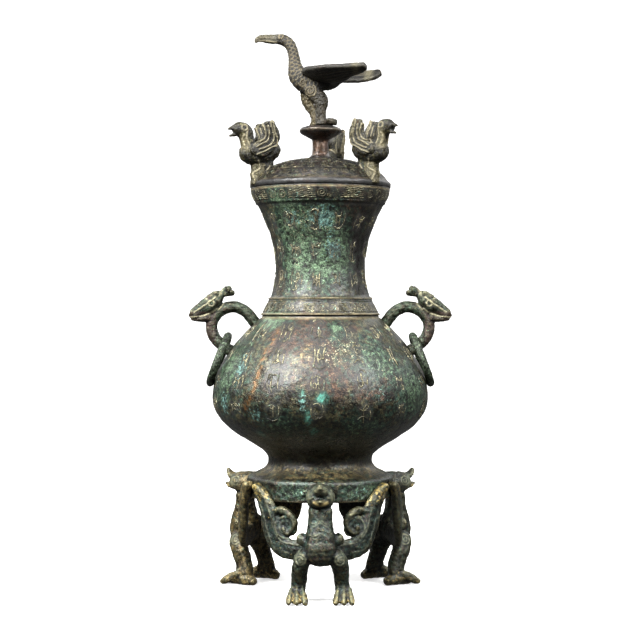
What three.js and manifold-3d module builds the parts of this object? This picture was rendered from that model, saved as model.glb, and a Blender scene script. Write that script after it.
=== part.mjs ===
// Lidded bronze ritual vase: a round-bellied vessel on a ring foot that three birds carry.
// The domed lid has three small birds at its edge and a long-necked bird on its knob.
// Two dragon-headed loop handles each hold a loose ring.
// Millimetres, +Z up, front towards -Y, origin on the vessel's axis at the ground.

import * as THREE from "three";
import { mergeVertices } from "three/addons/utils/BufferGeometryUtils.js";
import Module from "manifold-3d";

const wasm = await Module();
wasm.setup();

// Heights, stacked from the ground up
const standHeight = 74.7;
const footBandHeight = 15.7;
const skirtHeight = 13.6;
const lowerBellyHeight = 49.5;
const upperBellyHeight = 63;
const shoulderBandHeight = 16.6;
const neckHeight = 72.9;
const mouthBandHeight = 13.5;

// Outer radii of the vessel
const footRadius = 58.4;
const waistRadius = 41.6;
const bellyRadius = 86.4;
const shoulderRadius = 47.9;
const neckBaseRadius = 39.8;
const neckRadius = 36;
const mouthStartRadius = 50.4;
const mouthRadius = 55.9;

// Casting thicknesses and raised or sunk lines
const wall = 3;
const floorThickness = 3;
const bandRaise = 1.2;
const mouthBandRaise = 0.8;
const filletWidth = 1.4;
const grooveDepth = 0.9;
const grooveWidth = 1.2;

// Lid, its inner flange, post and knob disc
const lidRimRaise = 0.7;
const lidRimHeight = 5.7;
const lidRimChamfer = 2.5;
const lidDomeHeight = 19;
const lidFlangeDepth = 5;
const lidFlangeClearance = 0.5;
const postRadius = 6.7;
const postHeight = 14;
const discRadius = 16.8;
const discConeHeight = 6;
const discEdgeHeight = 2.4;
const discTopRadius = 14.4;
const discTopRise = 3.1;
const postFlare = 2.3;

// Figures, each by one length of its own
const finialLength = 101;
const finialYaw = 12;
const lidBirdHeight = 52;
const lidBirdLip = 1.5;
const lidBirdPedestalWidth = 11;
const lidBirdAngles = { left: -70, right: 50, back: 170 };
const footBirdAngles = { front: 0, right: 120, left: 240 };
const footBirdCrest = 2.6;
const footBirdWingDepth = 3.6;
const footBirdScrollDepth = 3;

// Handles and rings
const handleReach = 35.6;
const handleBarRadius = 4.8;
const dragonLength = 41;
const ringMeanRadius = 20;
const ringWireRadius = 3.2;
const ringPlay = 0.6;

// Clearance between pieces that touch, and the fineness of the round forms
const gap = 0.3;
const turns = 24;

// Levels that follow from the stacked heights
const bandBase = standHeight;
const bandTop = bandBase + footBandHeight;
const waistLevel = bandTop + skirtHeight;
const bellyLevel = waistLevel + lowerBellyHeight;
const shoulderLevel = bellyLevel + upperBellyHeight;
const neckBase = shoulderLevel + shoulderBandHeight;
const mouthBase = neckBase + neckHeight;
const mouthTop = mouthBase + mouthBandHeight;
const lidBase = mouthTop + gap;

const bronze = {
  body: new THREE.MeshStandardMaterial({ color: 0x4b4a3a, roughness: 0.45, metalness: 0.7 }),
  lid: new THREE.MeshStandardMaterial({ color: 0x3a3b31, roughness: 0.5, metalness: 0.7 }),
  figure: new THREE.MeshStandardMaterial({ color: 0x5c5a41, roughness: 0.5, metalness: 0.6 }),
  handle: new THREE.MeshStandardMaterial({ color: 0x34402f, roughness: 0.5, metalness: 0.6 }),
  ring: new THREE.MeshStandardMaterial({ color: 0x5d6b57, roughness: 0.5, metalness: 0.6 }),
};

// Small helpers for points and solids

const radians = THREE.MathUtils.degToRad;
const flat = (r, z) => new THREE.Vector2(r, z);
const point = (x, y, z) => new THREE.Vector3(x, y, z);

// Turns a closed geometry into a solid that can be joined and cut
function solidOf(geometry) {
  const bare = geometry.clone();
  bare.deleteAttribute("normal");
  bare.deleteAttribute("uv");
  const merged = mergeVertices(bare, 1e-4);
  const corners = merged.index.array;
  const triangles = [];
  for (let i = 0; i < corners.length; i += 3) {
    const [a, b, c] = corners.slice(i, i + 3);
    if (a !== b && b !== c && c !== a) triangles.push(a, b, c);
  }
  return new wasm.Manifold(new wasm.Mesh({
    numProp: 3,
    vertProperties: Float32Array.from(merged.attributes.position.array),
    triVerts: Uint32Array.from(triangles),
  }));
}

function geometryOf(solid) {
  const mesh = solid.getMesh();
  const geometry = new THREE.BufferGeometry();
  geometry.setAttribute("position", new THREE.BufferAttribute(mesh.vertProperties, 3));
  geometry.setIndex(new THREE.BufferAttribute(mesh.triVerts, 1));
  geometry.computeVertexNormals();
  return geometry;
}

const joined = (solids) => solids.reduce((whole, piece) => whole.add(piece));

// A body turned about the Z axis from its half outline of (radius, height) points,
// which runs up on the outside and down on the inside, with an edge facing the front
function turned(outline) {
  return new THREE.LatheGeometry(outline, turns).rotateX(Math.PI / 2);
}

// The space that a turned body fills, as a figure sees it that faces +X on an edge of it
const facedBy = (solid) => solid.rotate([0, 0, 90]);

// A curve that leaves and arrives along given directions, as shares of its own rise and run
function sweep(start, leave, arrive, end, steps) {
  const run = end.x - start.x;
  const rise = end.y - start.y;
  return new THREE.CubicBezierCurve(
    start,
    flat(start.x + leave[0] * run, start.y + leave[1] * rise),
    flat(end.x - arrive[0] * run, end.y - arrive[1] * rise),
    end,
  ).getPoints(steps);
}

// The outline moved sideways by a distance, outwards where it is positive
function offset(outline, distance) {
  const normals = outline.slice(1).map((p, i) => {
    const along = p.clone().sub(outline[i]).normalize();
    return flat(along.y, -along.x);
  });
  return outline.map((p, i) => {
    const before = normals[Math.max(i - 1, 0)];
    const after = normals[Math.min(i, normals.length - 1)];
    const mean = before.clone().add(after).normalize();
    const reach = distance / Math.max(mean.dot(after), 0.5);
    return p.clone().addScaledVector(mean, reach);
  });
}

// A closed body of oval sections along a smooth curve through its stations.
// A station is [x, y, z, half width, half height]; the width lies along "across",
// a direction or a function that gives it at a point, and the height square to it.
function limb(stations, across, { sides = 8, steps = 1 } = {}) {
  const centres = new THREE.CatmullRomCurve3(stations.map(([x, y, z]) => point(x, y, z)));
  const sizes = new THREE.CatmullRomCurve3(stations.map(([, , , a, b]) => point(a, b, 0)));
  const count = Math.round((stations.length - 1) * steps);
  const vertices = [];
  const triangles = [];
  for (let i = 0; i <= count; i += 1) {
    const centre = centres.getPoint(i / count);
    const along = centres.getTangent(i / count);
    const size = sizes.getPoint(i / count);
    const side = (typeof across === "function" ? across(centre) : across).clone();
    side.addScaledVector(along, -side.dot(along)).normalize();
    const rise = along.clone().cross(side);
    for (let j = 0; j < sides; j += 1) {
      const angle = ((j + 0.5) / sides) * 2 * Math.PI;
      const p = centre.clone()
        .addScaledVector(side, Math.max(size.x, 0.3) * Math.cos(angle))
        .addScaledVector(rise, Math.max(size.y, 0.3) * Math.sin(angle));
      vertices.push(p.x, p.y, p.z);
      if (i === count) continue;
      const a = i * sides + j;
      const b = i * sides + ((j + 1) % sides);
      triangles.push(a, b, b + sides, a, b + sides, a + sides);
    }
  }
  for (const [ring, outwards] of [[0, -1], [count, 1]]) {
    const along = centres.getTangent(ring / count);
    const size = sizes.getPoint(ring / count);
    const reach = 0.4 * Math.max(Math.min(size.x, size.y), 0.3) * outwards;
    const tip = centres.getPoint(ring / count).addScaledVector(along, reach);
    const tipIndex = vertices.length / 3;
    vertices.push(tip.x, tip.y, tip.z);
    for (let j = 0; j < sides; j += 1) {
      const a = ring * sides + j;
      const b = ring * sides + ((j + 1) % sides);
      triangles.push(tipIndex, ...(outwards > 0 ? [a, b] : [b, a]));
    }
  }
  const geometry = new THREE.BufferGeometry();
  geometry.setAttribute("position", new THREE.Float32BufferAttribute(vertices, 3));
  geometry.setIndex(triangles);
  return solidOf(geometry);
}

// Stations drawn at one size, brought to another size and moved by an offset
const scaled = (stations, share, [dx, dy, dz] = [0, 0, 0]) =>
  stations.map(([x, y, z, a, b]) => [
    x * share + dx, y * share + dy, z * share + dz, a * share, b * share,
  ]);

// Vessel outlines

const lowerBelly = sweep(
  flat(waistRadius, waistLevel), [0, 0.263], [0, 0.596], flat(bellyRadius, bellyLevel), 5);
const upperBelly = sweep(
  flat(bellyRadius, bellyLevel), [0, 0.381], [0.475, 0.254],
  flat(shoulderRadius, shoulderLevel), 5);
const waistOfNeck = neckBase + neckHeight / 3;
const neckCurve = [
  ...sweep(flat(neckBaseRadius, neckBase), [0.68, 0.33], [0, 0.35],
    flat(neckRadius, waistOfNeck), 2),
  ...sweep(flat(neckRadius, waistOfNeck), [0, 0.34], [0.55, 0.29],
    flat(mouthStartRadius, mouthBase), 4).slice(1),
];
const skirt = sweep(
  flat(footRadius, bandTop), [0.476, 0.3], [0, 0.59], flat(waistRadius, waistLevel), 3);

// Raised shoulder band between two fillets, over a sunk groove
function shoulderBand() {
  const foot = shoulderLevel + grooveWidth;
  const lean = (shoulderRadius - neckBaseRadius) / shoulderBandHeight;
  const face = (z) => shoulderRadius - (z - shoulderLevel) * lean + bandRaise / 2;
  return [
    flat(shoulderRadius - grooveDepth, shoulderLevel + grooveWidth / 2),
    flat(face(foot) + bandRaise, foot),
    flat(face(foot) + bandRaise, foot + filletWidth),
    flat(face(foot + filletWidth), foot + filletWidth * 1.3),
    flat(face(neckBase - filletWidth), neckBase - filletWidth * 1.3),
    flat(face(neckBase) + bandRaise, neckBase - filletWidth),
    flat(face(neckBase) + bandRaise, neckBase - filletWidth / 4),
  ];
}

// Raised mouth band up to the level rim
function mouthBand() {
  const start = flat(mouthStartRadius + mouthBandRaise, mouthBase + filletWidth / 4);
  const end = flat(mouthRadius, mouthTop);
  return sweep(start, [0.55, 0.38], [0, 0.32], end, 2);
}

const vesselOutside = [
  flat(footRadius, bandBase),
  ...skirt,
  ...lowerBelly.slice(1),
  ...upperBelly.slice(1),
  ...shoulderBand(),
  ...neckCurve,
  ...mouthBand(),
];

// The same outline without its bands, moved in by the wall
const everySecond = (p, i) => i % 2 === 0;
const vesselInside = offset([
  ...lowerBelly.slice(1).filter(everySecond),
  ...upperBelly.slice(1).filter(everySecond),
  ...neckCurve.filter(everySecond),
  flat(mouthRadius, mouthTop),
], -wall);
const floorTop = waistLevel + floorThickness;
const rimInside = mouthRadius - wall;
const neckInside = vesselInside[vesselInside.length - 2];
vesselInside[vesselInside.length - 1] = flat(rimInside, mouthTop);

const vesselOutline = [
  flat(0, waistLevel),
  ...offset(skirt, -wall).slice(1).reverse(),
  flat(footRadius - wall, bandTop - wall / 2),
  flat(footRadius - wall, bandBase),
  ...vesselOutside,
  ...vesselInside.reverse(),
  flat(waistRadius - wall, floorTop),
  flat(0, floorTop),
];

// Everything that the vessel fills, grown by the clearance, to cut its neighbours with
const vesselReach = solidOf(turned([
  flat(0, bandBase - gap),
  flat(footRadius + gap, bandBase - gap),
  ...offset(vesselOutside, gap).slice(1, -1),
  flat(mouthRadius + gap, mouthTop + gap),
  flat(0, mouthTop + gap),
]));

// Lid outlines

const lidRadius = mouthRadius + lidRimRaise;
const domeStart = flat(lidRadius - lidRimChamfer, lidBase + lidRimHeight);
const domeTop = domeStart.y + lidDomeHeight;
const domeCurve = sweep(domeStart, [0.15, 0.55], [0.518, 0.105], flat(0, domeTop), 5);
const discBase = domeTop + postHeight;
const discTop = discBase + discConeHeight + discEdgeHeight + discTopRise;

const lidOutside = [
  flat(lidRadius - lidRimRaise / 2, lidBase),
  flat(lidRadius, lidBase + lidRimHeight / 2),
  ...domeCurve.slice(0, -1),
];

const flangeDown = lidFlangeDepth / (mouthTop - neckInside.y);
const seatRadius = rimInside - flangeDown * (rimInside - neckInside.x);
const flangeRadius = seatRadius - lidFlangeClearance;
const lidInside = offset(domeCurve, -wall).slice(1, -1).reverse();

const lidOutline = [
  flat(0, domeTop - wall),
  ...lidInside,
  flat(flangeRadius - wall, lidBase),
  flat(flangeRadius - wall, mouthTop - lidFlangeDepth),
  flat(flangeRadius, mouthTop - lidFlangeDepth),
  flat(flangeRadius, lidBase),
  ...lidOutside,
  flat(postRadius + postFlare, domeTop + gap),
  flat(postRadius, domeTop + gap + postFlare),
  flat(postRadius, discBase),
  flat(discRadius - discEdgeHeight / 8, discBase + discConeHeight),
  flat(discRadius, discBase + discConeHeight + discEdgeHeight),
  flat(discTopRadius, discTop),
  flat(0, discTop),
];

const lidReach = solidOf(turned([
  flat(0, lidBase - gap),
  flat(lidRadius + gap, lidBase - gap),
  ...offset(lidOutside, gap).slice(1),
  flat(postRadius, domeTop + gap),
  flat(0, domeTop + gap),
]));

// The long-necked bird on the knob, drawn facing -X with its feet at the origin's level.
// The stations are in shares of a bird 101 long from beak to wing tips.
const finialDrawn = 101;
const sideways = point(0, 1, 0);

function finialBird() {
  const share = finialLength / finialDrawn;
  const part = (stations, options, across = sideways) =>
    limb(scaled(stations, share), across, options);
  const neckAndBody = part([
    [-36, 0, 69.6, 3.6, 3.6], [-31.5, 0, 69.6, 4.4, 4.7], [-26.5, 0, 66.8, 4.4, 4.6],
    [-23.3, 0, 62, 4.1, 4.3], [-21.6, 0, 55, 4.1, 4.5], [-20.6, 0, 48, 5.2, 5.6],
    [-18.4, 0, 41, 7, 8], [-12, 0, 36, 8, 9.6], [-3, 0, 35.4, 8, 8],
    [8, 0, 35, 6.8, 6.8], [16, 0, 37, 5, 4.2], [23, 0, 38.4, 3.4, 1.8],
  ], { sides: 7 });
  const beak = part([
    [-34, 0, 70.2, 3.4, 3.8], [-40, 0, 70.1, 2.8, 3.9], [-45.5, 0, 70.8, 2.3, 3.4],
    [-50, 0, 71, 1.8, 2.7], [-52.8, 0, 70, 1.2, 1.9], [-53.6, 0, 67.8, 0.5, 0.7],
  ], { sides: 6 });
  const nearWing = part([
    [-9, -5.5, 40.6, 6.4, 2.8], [-1, -13.5, 38.8, 11, 3.2], [12, -20.5, 37.8, 12.8, 2.9],
    [26, -26.5, 39.2, 8.5, 2.7], [38, -30, 40.6, 5.4, 2.5], [42.6, -31, 41.6, 3.2, 2.2],
  ], { sides: 6 }, point(0.55, 0.85, -0.4));
  const farWing = part([
    [-9, 5.5, 41.4, 6.4, 2.8], [-1, 13.5, 42, 11, 3.2], [12, 20.5, 41.8, 12.8, 2.9],
    [26, 26.5, 41.8, 10.5, 2.7], [38, 30, 43.6, 7.4, 2.5], [43.6, 31.2, 45.4, 3.6, 2.4],
  ], { sides: 6 }, point(0.55, -0.85, -0.5));
  const nearLeg = part([
    [-9, -5, 31, 3.6, 6.4], [-3, -5.6, 24.6, 3.5, 5], [3.2, -5.6, 18.6, 3, 4.4],
    [3, -5.4, 12.6, 2.7, 3.2], [2.6, -5.2, 6, 2.7, 3.2], [2.4, -5.2, 0.8, 3.4, 4.4],
  ], { sides: 6 });
  const hock = part([
    [1.4, -5.6, 20.4, 2.6, 3.2], [7.2, -5.6, 18.9, 1.2, 1.4],
  ], { sides: 6 });
  const farLeg = part([
    [-12, 4, 30, 3.4, 6], [-11.6, 5, 19.6, 3.2, 4.6], [-7.8, 5.2, 12.6, 2.8, 3.7],
    [-5.6, 5.2, 6, 2.7, 3], [-5.6, 5.2, 0.8, 3.4, 4.4],
  ], { sides: 6 });
  const whole = joined([neckAndBody, beak, nearWing, farWing, nearLeg, hock, farLeg]);
  const below = solidOf(new THREE.BoxGeometry(finialLength, finialLength, finialLength)
    .translate(0, 0, -finialLength / 2));
  return whole.subtract(below);
}

// A small bird on the lid's edge, drawn facing +X. X is the distance from the vessel's axis,
// taken from the lid's rim, and Z the height over the lid's base.
const lidBirdDrawn = 52;
const lidBirdRimDrawn = 58.5;

function lidBird() {
  const share = lidBirdHeight / lidBirdDrawn;
  const rim = lidRadius + lidBirdLip;
  const shift = [rim - lidBirdRimDrawn * share, 0, lidBase];
  const part = (stations, options, across = sideways) =>
    limb(scaled(stations, share, shift), across, options);
  const body = part([
    [66.2, 0, 25.4, 4.6, 5.6], [61.5, 0, 26, 7, 8.6], [55, 0, 26.4, 8, 9.4],
    [47.5, 0, 27, 7.8, 9], [40, 0, 29.2, 6, 6.8], [36.2, 0, 31, 3.6, 3.6],
  ], { sides: 6 });
  const neckAndHead = part([
    [60, 0, 28, 5.6, 6.6], [61.8, 0, 36, 5.1, 5.7], [64.2, 0, 43, 5.4, 6.6],
    [68.6, 0, 45.2, 5.2, 5.4], [72, 0, 43.4, 4.2, 4.4],
  ], { sides: 6 });
  const upperBeak = part([
    [70, 0, 46, 3.6, 2.4], [78.2, 0, 44.5, 1, 0.7],
  ], { sides: 4 });
  const lowerBeak = part([
    [70, 0, 41.4, 3.4, 2.2], [76.6, 0, 39.1, 1, 0.7],
  ], { sides: 4 });
  const wings = [-1, 1].map((way) => part([
    [60.5, way * 6.2, 27.5, 2, 3], [51, way * 7.9, 29.6, 2.4, 6.6],
    [44.4, way * 8.7, 39, 2.3, 8], [44.4, way * 10.6, 50.6, 1.8, 3.4],
  ], { sides: 6 }));
  const pedestalSide = new THREE.Shape([
    [rim, 1.2], [rim, 16.5], [rim + 1.4, 20], [42.5, 24], [39.8, 20], [39.8, 8],
  ].map(([x, z], i) => flat(i < 3 ? x : x * share + shift[0], z * share)));
  const pedestal = solidOf(
    new THREE.ExtrudeGeometry(pedestalSide, {
      depth: lidBirdPedestalWidth,
      bevelEnabled: false,
    })
      .rotateX(Math.PI / 2)
      .translate(0, lidBirdPedestalWidth / 2, lidBase));
  const whole = joined([body, neckAndHead, upperBeak, lowerBeak, ...wings, pedestal]);
  return whole.subtract(facedBy(lidReach));
}

// Handles, drawn at the left with -X outwards.
// The loop's points are measured outwards and upwards from the upper root, just under the
// shoulder band, for a loop that reaches 35.6 out.
const handleDrawn = 35.6;
const rootOut = 3.5;
const rootDrop = 7;
const upperLimb = [[-6, -5], [0, 1.8], [8, 11.6], [17.6, 15.8]];
const headSeat = [28, 12.8];
const outerLimb = [[34, 6.4], [35.6, -1.2], [32.8, -9.2]];
const lowerLimb = [[27.2, -14.8], [20, -19.6], [9, -25.5]];
const loopPath = [...upperLimb, headSeat, ...outerLimb, ...lowerLimb];
const dragonDrawn = 41;

function handlePoint(out, up) {
  const share = handleReach / handleDrawn;
  return [-(shoulderRadius + rootOut + out * share), shoulderLevel - rootDrop + up * share];
}

function handle() {
  const bar = limb(loopPath.map(([out, up]) => {
    const [x, z] = handlePoint(out, up);
    return [x, 0, z, handleBarRadius, handleBarRadius];
  }), sideways, { sides: 8 });
  const share = dragonLength / dragonDrawn;
  const [headX, headZ] = handlePoint(...headSeat);
  const part = (stations, options) =>
    limb(scaled(stations, share, [headX, 0, headZ]), sideways, options);
  const head = part([
    [-25.3, 0, -4.8, 2.6, 2.2], [-22, 0, -3.2, 5.6, 4.6], [-16.6, 0, 0.4, 6.4, 5.4],
    [-10.6, 0, 4, 8, 6.6], [-4.6, 0, 9, 8, 6.2], [0, 0, 13.4, 5, 3.6],
  ], { sides: 8 });
  const jaw = part([
    [-23.5, 0, -6.4, 3.4, 1.6], [-18, 0, -6.8, 5, 2.3], [-9, 0, -5, 6, 4.6],
  ], { sides: 6 });
  const crest = part([
    [-3, 0, 9.6, 4.4, 3.2], [1.6, 0, 14, 4, 2.9], [5.4, 0, 16.6, 5.6, 4], [8, 0, 17.8, 6.4, 4.4],
  ], { sides: 6 });
  return joined([bar, head, jaw, crest]).subtract(vesselReach);
}

// The ring's pivot lies inside the loop, one bar and one wire from the bar's centre line,
// over the start of the loop's lower limb.
function ringPivot() {
  const [x1, z1] = handlePoint(...lowerLimb[0]);
  const [x2, z2] = handlePoint(...lowerLimb[1]);
  const along = flat(x2 - x1, z2 - z1).normalize();
  const away = handleBarRadius + ringWireRadius + ringPlay;
  return flat(x1 - along.y * away, z1 + along.x * away);
}

// How far a point stands clear of an outline, negative where it is inside
function clearOf(outline, here) {
  let nearest = Infinity;
  let side = 1;
  for (let k = 1; k < outline.length; k += 1) {
    const start = outline[k - 1];
    const edge = outline[k].clone().sub(start);
    const arm = here.clone().sub(start);
    const share = Math.min(Math.max(arm.dot(edge) / edge.lengthSq(), 0), 1);
    const distance = start.clone().addScaledVector(edge, share).distanceTo(here);
    if (distance >= nearest) continue;
    nearest = distance;
    side = Math.sign(edge.y * arm.x - edge.x * arm.y);
  }
  return nearest * side;
}

// The lean from the vertical at which the hanging ring comes to rest on the belly
function restingLean(pivot) {
  const belly = [...lowerBelly, ...upperBelly.slice(1)];
  const stepsRound = 24;
  const leanStep = 0.25;
  const mostLean = 80;
  for (let lean = 0; lean < mostLean; lean += leanStep) {
    const clear = Array.from({ length: stepsRound }, (_, i) => {
      const turn = (i / stepsRound) * 2 * Math.PI;
      const down = ringMeanRadius * (1 - Math.cos(turn));
      const x = pivot.x - down * Math.sin(radians(lean));
      const y = ringMeanRadius * Math.sin(turn);
      return clearOf(belly, flat(Math.hypot(x, y), pivot.y - down * Math.cos(radians(lean))));
    });
    if (Math.min(...clear) >= ringWireRadius + gap) return lean;
  }
  return mostLean;
}

// A bird that carries the ring foot, drawn facing +X at 93 high under a band 58.4 in radius.
// X is the distance from the vessel's axis, and the wings lie round the vessel.
const footBirdDrawn = 93;
const footBandDrawn = 58.4;
const radial = (p) => point(p.x, p.y, 0).normalize();

function footBird() {
  const share = (bandTop + footBirdCrest) / footBirdDrawn;
  const shift = [footRadius - footBandDrawn * share, 0, 0];
  const part = (stations, options, across = sideways) =>
    limb(scaled(stations, share, shift), across, options);
  const body = part([
    [71, 0, 31.4, 8, 7], [71.2, 0, 36, 11.2, 11.2], [71.3, 0, 43.5, 12.4, 12.7],
    [71.3, 0, 52, 11.2, 11.2], [71.3, 0, 61.5, 9.6, 8.2], [71.3, 0, 72, 9.4, 6.8],
  ], { sides: 8 });
  const head = part([
    [58, 0, 81, 10.4, 9.4], [68, 0, 80.5, 10.8, 10], [76, 0, 81.2, 10, 8.6],
    [81.5, 0, 81.4, 7.6, 6],
  ], { sides: 8 });
  const upperBeak = part([
    [79, 0, 84.8, 6.4, 3.4], [84.5, 0, 86.6, 4.8, 2.8], [88.6, 0, 92, 1.3, 1.3],
  ], { sides: 6 });
  const lowerBeak = part([
    [77, 0, 77.4, 6.8, 4], [84.5, 0, 78.6, 4.8, 2.6], [90.8, 0, 79.7, 1.2, 0.8],
  ], { sides: 6 });
  const legs = [-1, 1].flatMap((way) => [
    part([
      [70, way * 8, 40, 5, 8], [69, way * 14.5, 34, 6, 8.4], [66.5, way * 17.3, 27.4, 6.3, 7.4],
      [62, way * 17.8, 16, 5.8, 7.2], [61.2, way * 17.8, 8, 5.8, 7.4],
    ], { sides: 6 }),
    part([
      [50.6, way * 17.8, 3, 3.4, 3], [58, way * 17.8, 5, 6.2, 6.4],
      [68, way * 17.8, 5.4, 7, 7], [79.6, way * 17.8, 2.2, 2.8, 2.8],
    ], { sides: 6 }),
    ...[-1, 1].map((claw) => part([
      [67, way * 17.8 + claw * 4.6, 3.8, 3, 4.6],
      [78, way * 17.8 + claw * 5.8, 2.2, 2.4, 2.7],
    ], { sides: 4 })),
  ]);
  const reach = footRadius + 3.4 * share;
  const around = (stations, thick) => (way) => stations.map(([degrees, z, width]) => {
    const turn = radians(degrees);
    return [
      reach * Math.cos(turn), way * reach * Math.sin(turn),
      z * share, thick, width * share,
    ];
  });
  const wing = around([
    [6, 42.6, 7], [17, 39.6, 8], [29, 42.2, 7.8], [36.4, 53.6, 7.4],
    [41, 68.6, 6.4], [48, 80.4, 5.4], [54.5, 86.5, 2.4],
  ], footBirdWingDepth);
  const scroll = around([
    [37, 68, 3], [26, 69, 2.7], [18.4, 60.6, 2.6], [23.6, 51.8, 2.3], [27, 56.4, 1.8],
  ], footBirdScrollDepth);
  const wings = [-1, 1].flatMap((way) => [
    limb(wing(way), radial, { sides: 6 }),
    limb(scroll(way), radial, { sides: 5 }),
  ]);
  const ground = solidOf(new THREE.BoxGeometry(4 * footRadius, 4 * footRadius, standHeight)
    .translate(0, 0, -standHeight / 2));
  return joined([body, head, upperBeak, lowerBeak, ...legs, ...wings])
    .subtract(ground)
    .subtract(facedBy(vesselReach));
}

// The scene: one named mesh for each piece

function piece(name, geometry, material) {
  const mesh = new THREE.Mesh(geometry, material);
  mesh.name = name;
  return mesh;
}

// A child placed round the vessel's axis; angle 0 is the front and it grows towards +X
function facing(angle, child) {
  const group = new THREE.Group();
  group.rotation.z = radians(angle - 90);
  group.add(child);
  return group;
}

const vase = new THREE.Group();
vase.add(piece("vase", turned(vesselOutline), bronze.body));

const lid = piece("lid", turned(lidOutline), bronze.lid);
lid.rotation.z = radians(lidBirdAngles.right);
vase.add(lid);

const finial = piece("finial_bird", geometryOf(finialBird()), bronze.figure);
finial.position.z = discTop + gap;
finial.rotation.z = -radians(finialYaw);
vase.add(finial);

const lidBirdGeometry = geometryOf(lidBird());
for (const [where, angle] of Object.entries(lidBirdAngles)) {
  vase.add(facing(angle, piece(`lid_bird_${where}`, lidBirdGeometry, bronze.figure)));
}

const leftHandle = handle();
vase.add(piece("handle_left", geometryOf(leftHandle), bronze.handle));
vase.add(piece("handle_right", geometryOf(leftHandle.mirror([1, 0, 0])), bronze.handle));

const pivot = ringPivot();
const ringLean = restingLean(pivot);
for (const [where, way] of [["left", -1], ["right", 1]]) {
  const hang = new THREE.Group();
  hang.position.set(-way * pivot.x, 0, pivot.y);
  hang.rotation.y = -way * radians(ringLean);
  const ring = piece(
    `ring_${where}`,
    new THREE.TorusGeometry(ringMeanRadius, ringWireRadius, 7, 18).rotateY(Math.PI / 2),
    bronze.ring);
  ring.position.z = -ringMeanRadius;
  hang.add(ring);
  vase.add(hang);
}

const footBirdGeometry = geometryOf(footBird());
for (const [where, angle] of Object.entries(footBirdAngles)) {
  vase.add(facing(angle, piece(`foot_bird_${where}`, footBirdGeometry, bronze.figure)));
}

export default vase;
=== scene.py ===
"""The lidded bronze vase as it looks: fine cast surfaces, relief and patina round its fixed frame.

Lengths in the tables and the working arrays are millimetres, +Z up, front towards -Y.
Meshes are made in metres, in the frame's own axes, with every object at the origin.
"""

import math

import bpy
import numpy as np
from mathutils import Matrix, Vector


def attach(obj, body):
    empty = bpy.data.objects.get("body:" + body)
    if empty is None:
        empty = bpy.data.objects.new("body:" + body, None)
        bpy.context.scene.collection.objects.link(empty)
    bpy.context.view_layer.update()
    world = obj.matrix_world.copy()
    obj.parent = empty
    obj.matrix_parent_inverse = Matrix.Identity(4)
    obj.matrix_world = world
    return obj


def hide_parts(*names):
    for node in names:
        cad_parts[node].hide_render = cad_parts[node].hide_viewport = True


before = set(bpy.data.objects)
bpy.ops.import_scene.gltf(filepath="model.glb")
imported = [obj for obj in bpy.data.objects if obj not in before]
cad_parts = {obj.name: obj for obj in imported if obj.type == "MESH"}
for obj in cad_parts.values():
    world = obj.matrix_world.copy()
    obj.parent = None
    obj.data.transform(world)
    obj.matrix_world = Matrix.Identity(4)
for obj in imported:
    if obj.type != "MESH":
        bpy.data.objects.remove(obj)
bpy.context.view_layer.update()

METRES = 0.001
FULL = 2 * math.pi

# ---- Sizes that the solids have too: heights and radii in mm, angles in degrees ----

STAND, BAND_TOP, WAIST, BELLY = 74.7, 90.4, 104.0, 153.5
SHOULDER, NECK_BASE, MOUTH_BASE, MOUTH_TOP = 216.5, 233.1, 306.0, 319.5
FOOT_R, WAIST_R, BELLY_R, SHOULDER_R = 58.4, 41.6, 86.4, 47.9
NECK_BASE_R, NECK_R, MOUTH_START_R, MOUTH_R = 39.8, 36.0, 50.4, 55.9
WALL, GAP = 3.0, 0.3
LID_BASE, DOME_TOP, DISC_BASE, DISC_TOP = 319.8, 344.5, 358.5, 370.0
LID_R = 56.4
FINIAL_YAW = 12
RIM_BIRD_ANGLES = {"left": -70, "right": 50, "back": 170}
BEARER_ANGLES = {"front": 0, "right": 120, "left": 240}
RING_PIVOT, RING_LEAN = (73.83, 201.86), 20.9
RING_MEAN, RING_WIRE = 20.0, 3.2

# How far the skins lie inside their solids, so that relief and strokes stay in the solids' box
VESSEL_SINK, LID_SINK = 0.25, 0.2
# Points round the vessel and the lid, and round a ring and its wire
ROUND, LID_ROUND = 368, 240
RING_STEPS, WIRE_STEPS = 160, 24


# ---- Curves ----

def sweep(start, leave, arrive, end, count):
    """A cubic Bezier curve: each point is the mean of start, two handles and end, weighted by
    s^3, 3 s^2 t, 3 s t^2 and t^3 with s = 1 - t. The handles are shares of its own run and rise."""
    start, end = np.array(start, float), np.array(end, float)
    first = start + np.array(leave) * (end - start)
    last = end - np.array(arrive) * (end - start)
    t = np.linspace(0, 1, count)[:, None]
    s = 1 - t
    return s ** 3 * start + 3 * s * s * t * first + 3 * s * t * t * last + t ** 3 * end


def spline(points, count):
    """A centripetal Catmull-Rom curve: a cubic from each point to the next, whose slopes weigh the
    chords on both sides by the square roots of their lengths. The ends use mirrored points."""
    p = np.asarray(points, float)
    p = np.vstack([2 * p[:1] - p[1:2], p, 2 * p[-1:] - p[-2:-1]])
    at = np.linspace(0, len(points) - 1, count)
    k = np.minimum(at.astype(int), len(points) - 2)
    w = (at - k)[:, None]
    a, b, c, d = (p[k + i] for i in range(4))
    ab, bc, cd = (np.sqrt(np.linalg.norm(n - m, axis=1, keepdims=True)) + 1e-6
                  for m, n in ((a, b), (b, c), (c, d)))
    leave = ((b - a) / ab - (c - a) / (ab + bc) + (c - b) / bc) * bc
    arrive = ((c - b) / bc - (d - b) / (bc + cd) + (d - c) / cd) * bc
    return (((2 * b - 2 * c + leave + arrive) * w + 3 * c - 3 * b - 2 * leave - arrive) * w
            + leave) * w + b


def lengths(path):
    """How far along a broken line each of its points lies."""
    return np.concatenate([[0], np.cumsum(np.linalg.norm(np.diff(path, axis=0), axis=1))])


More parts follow.
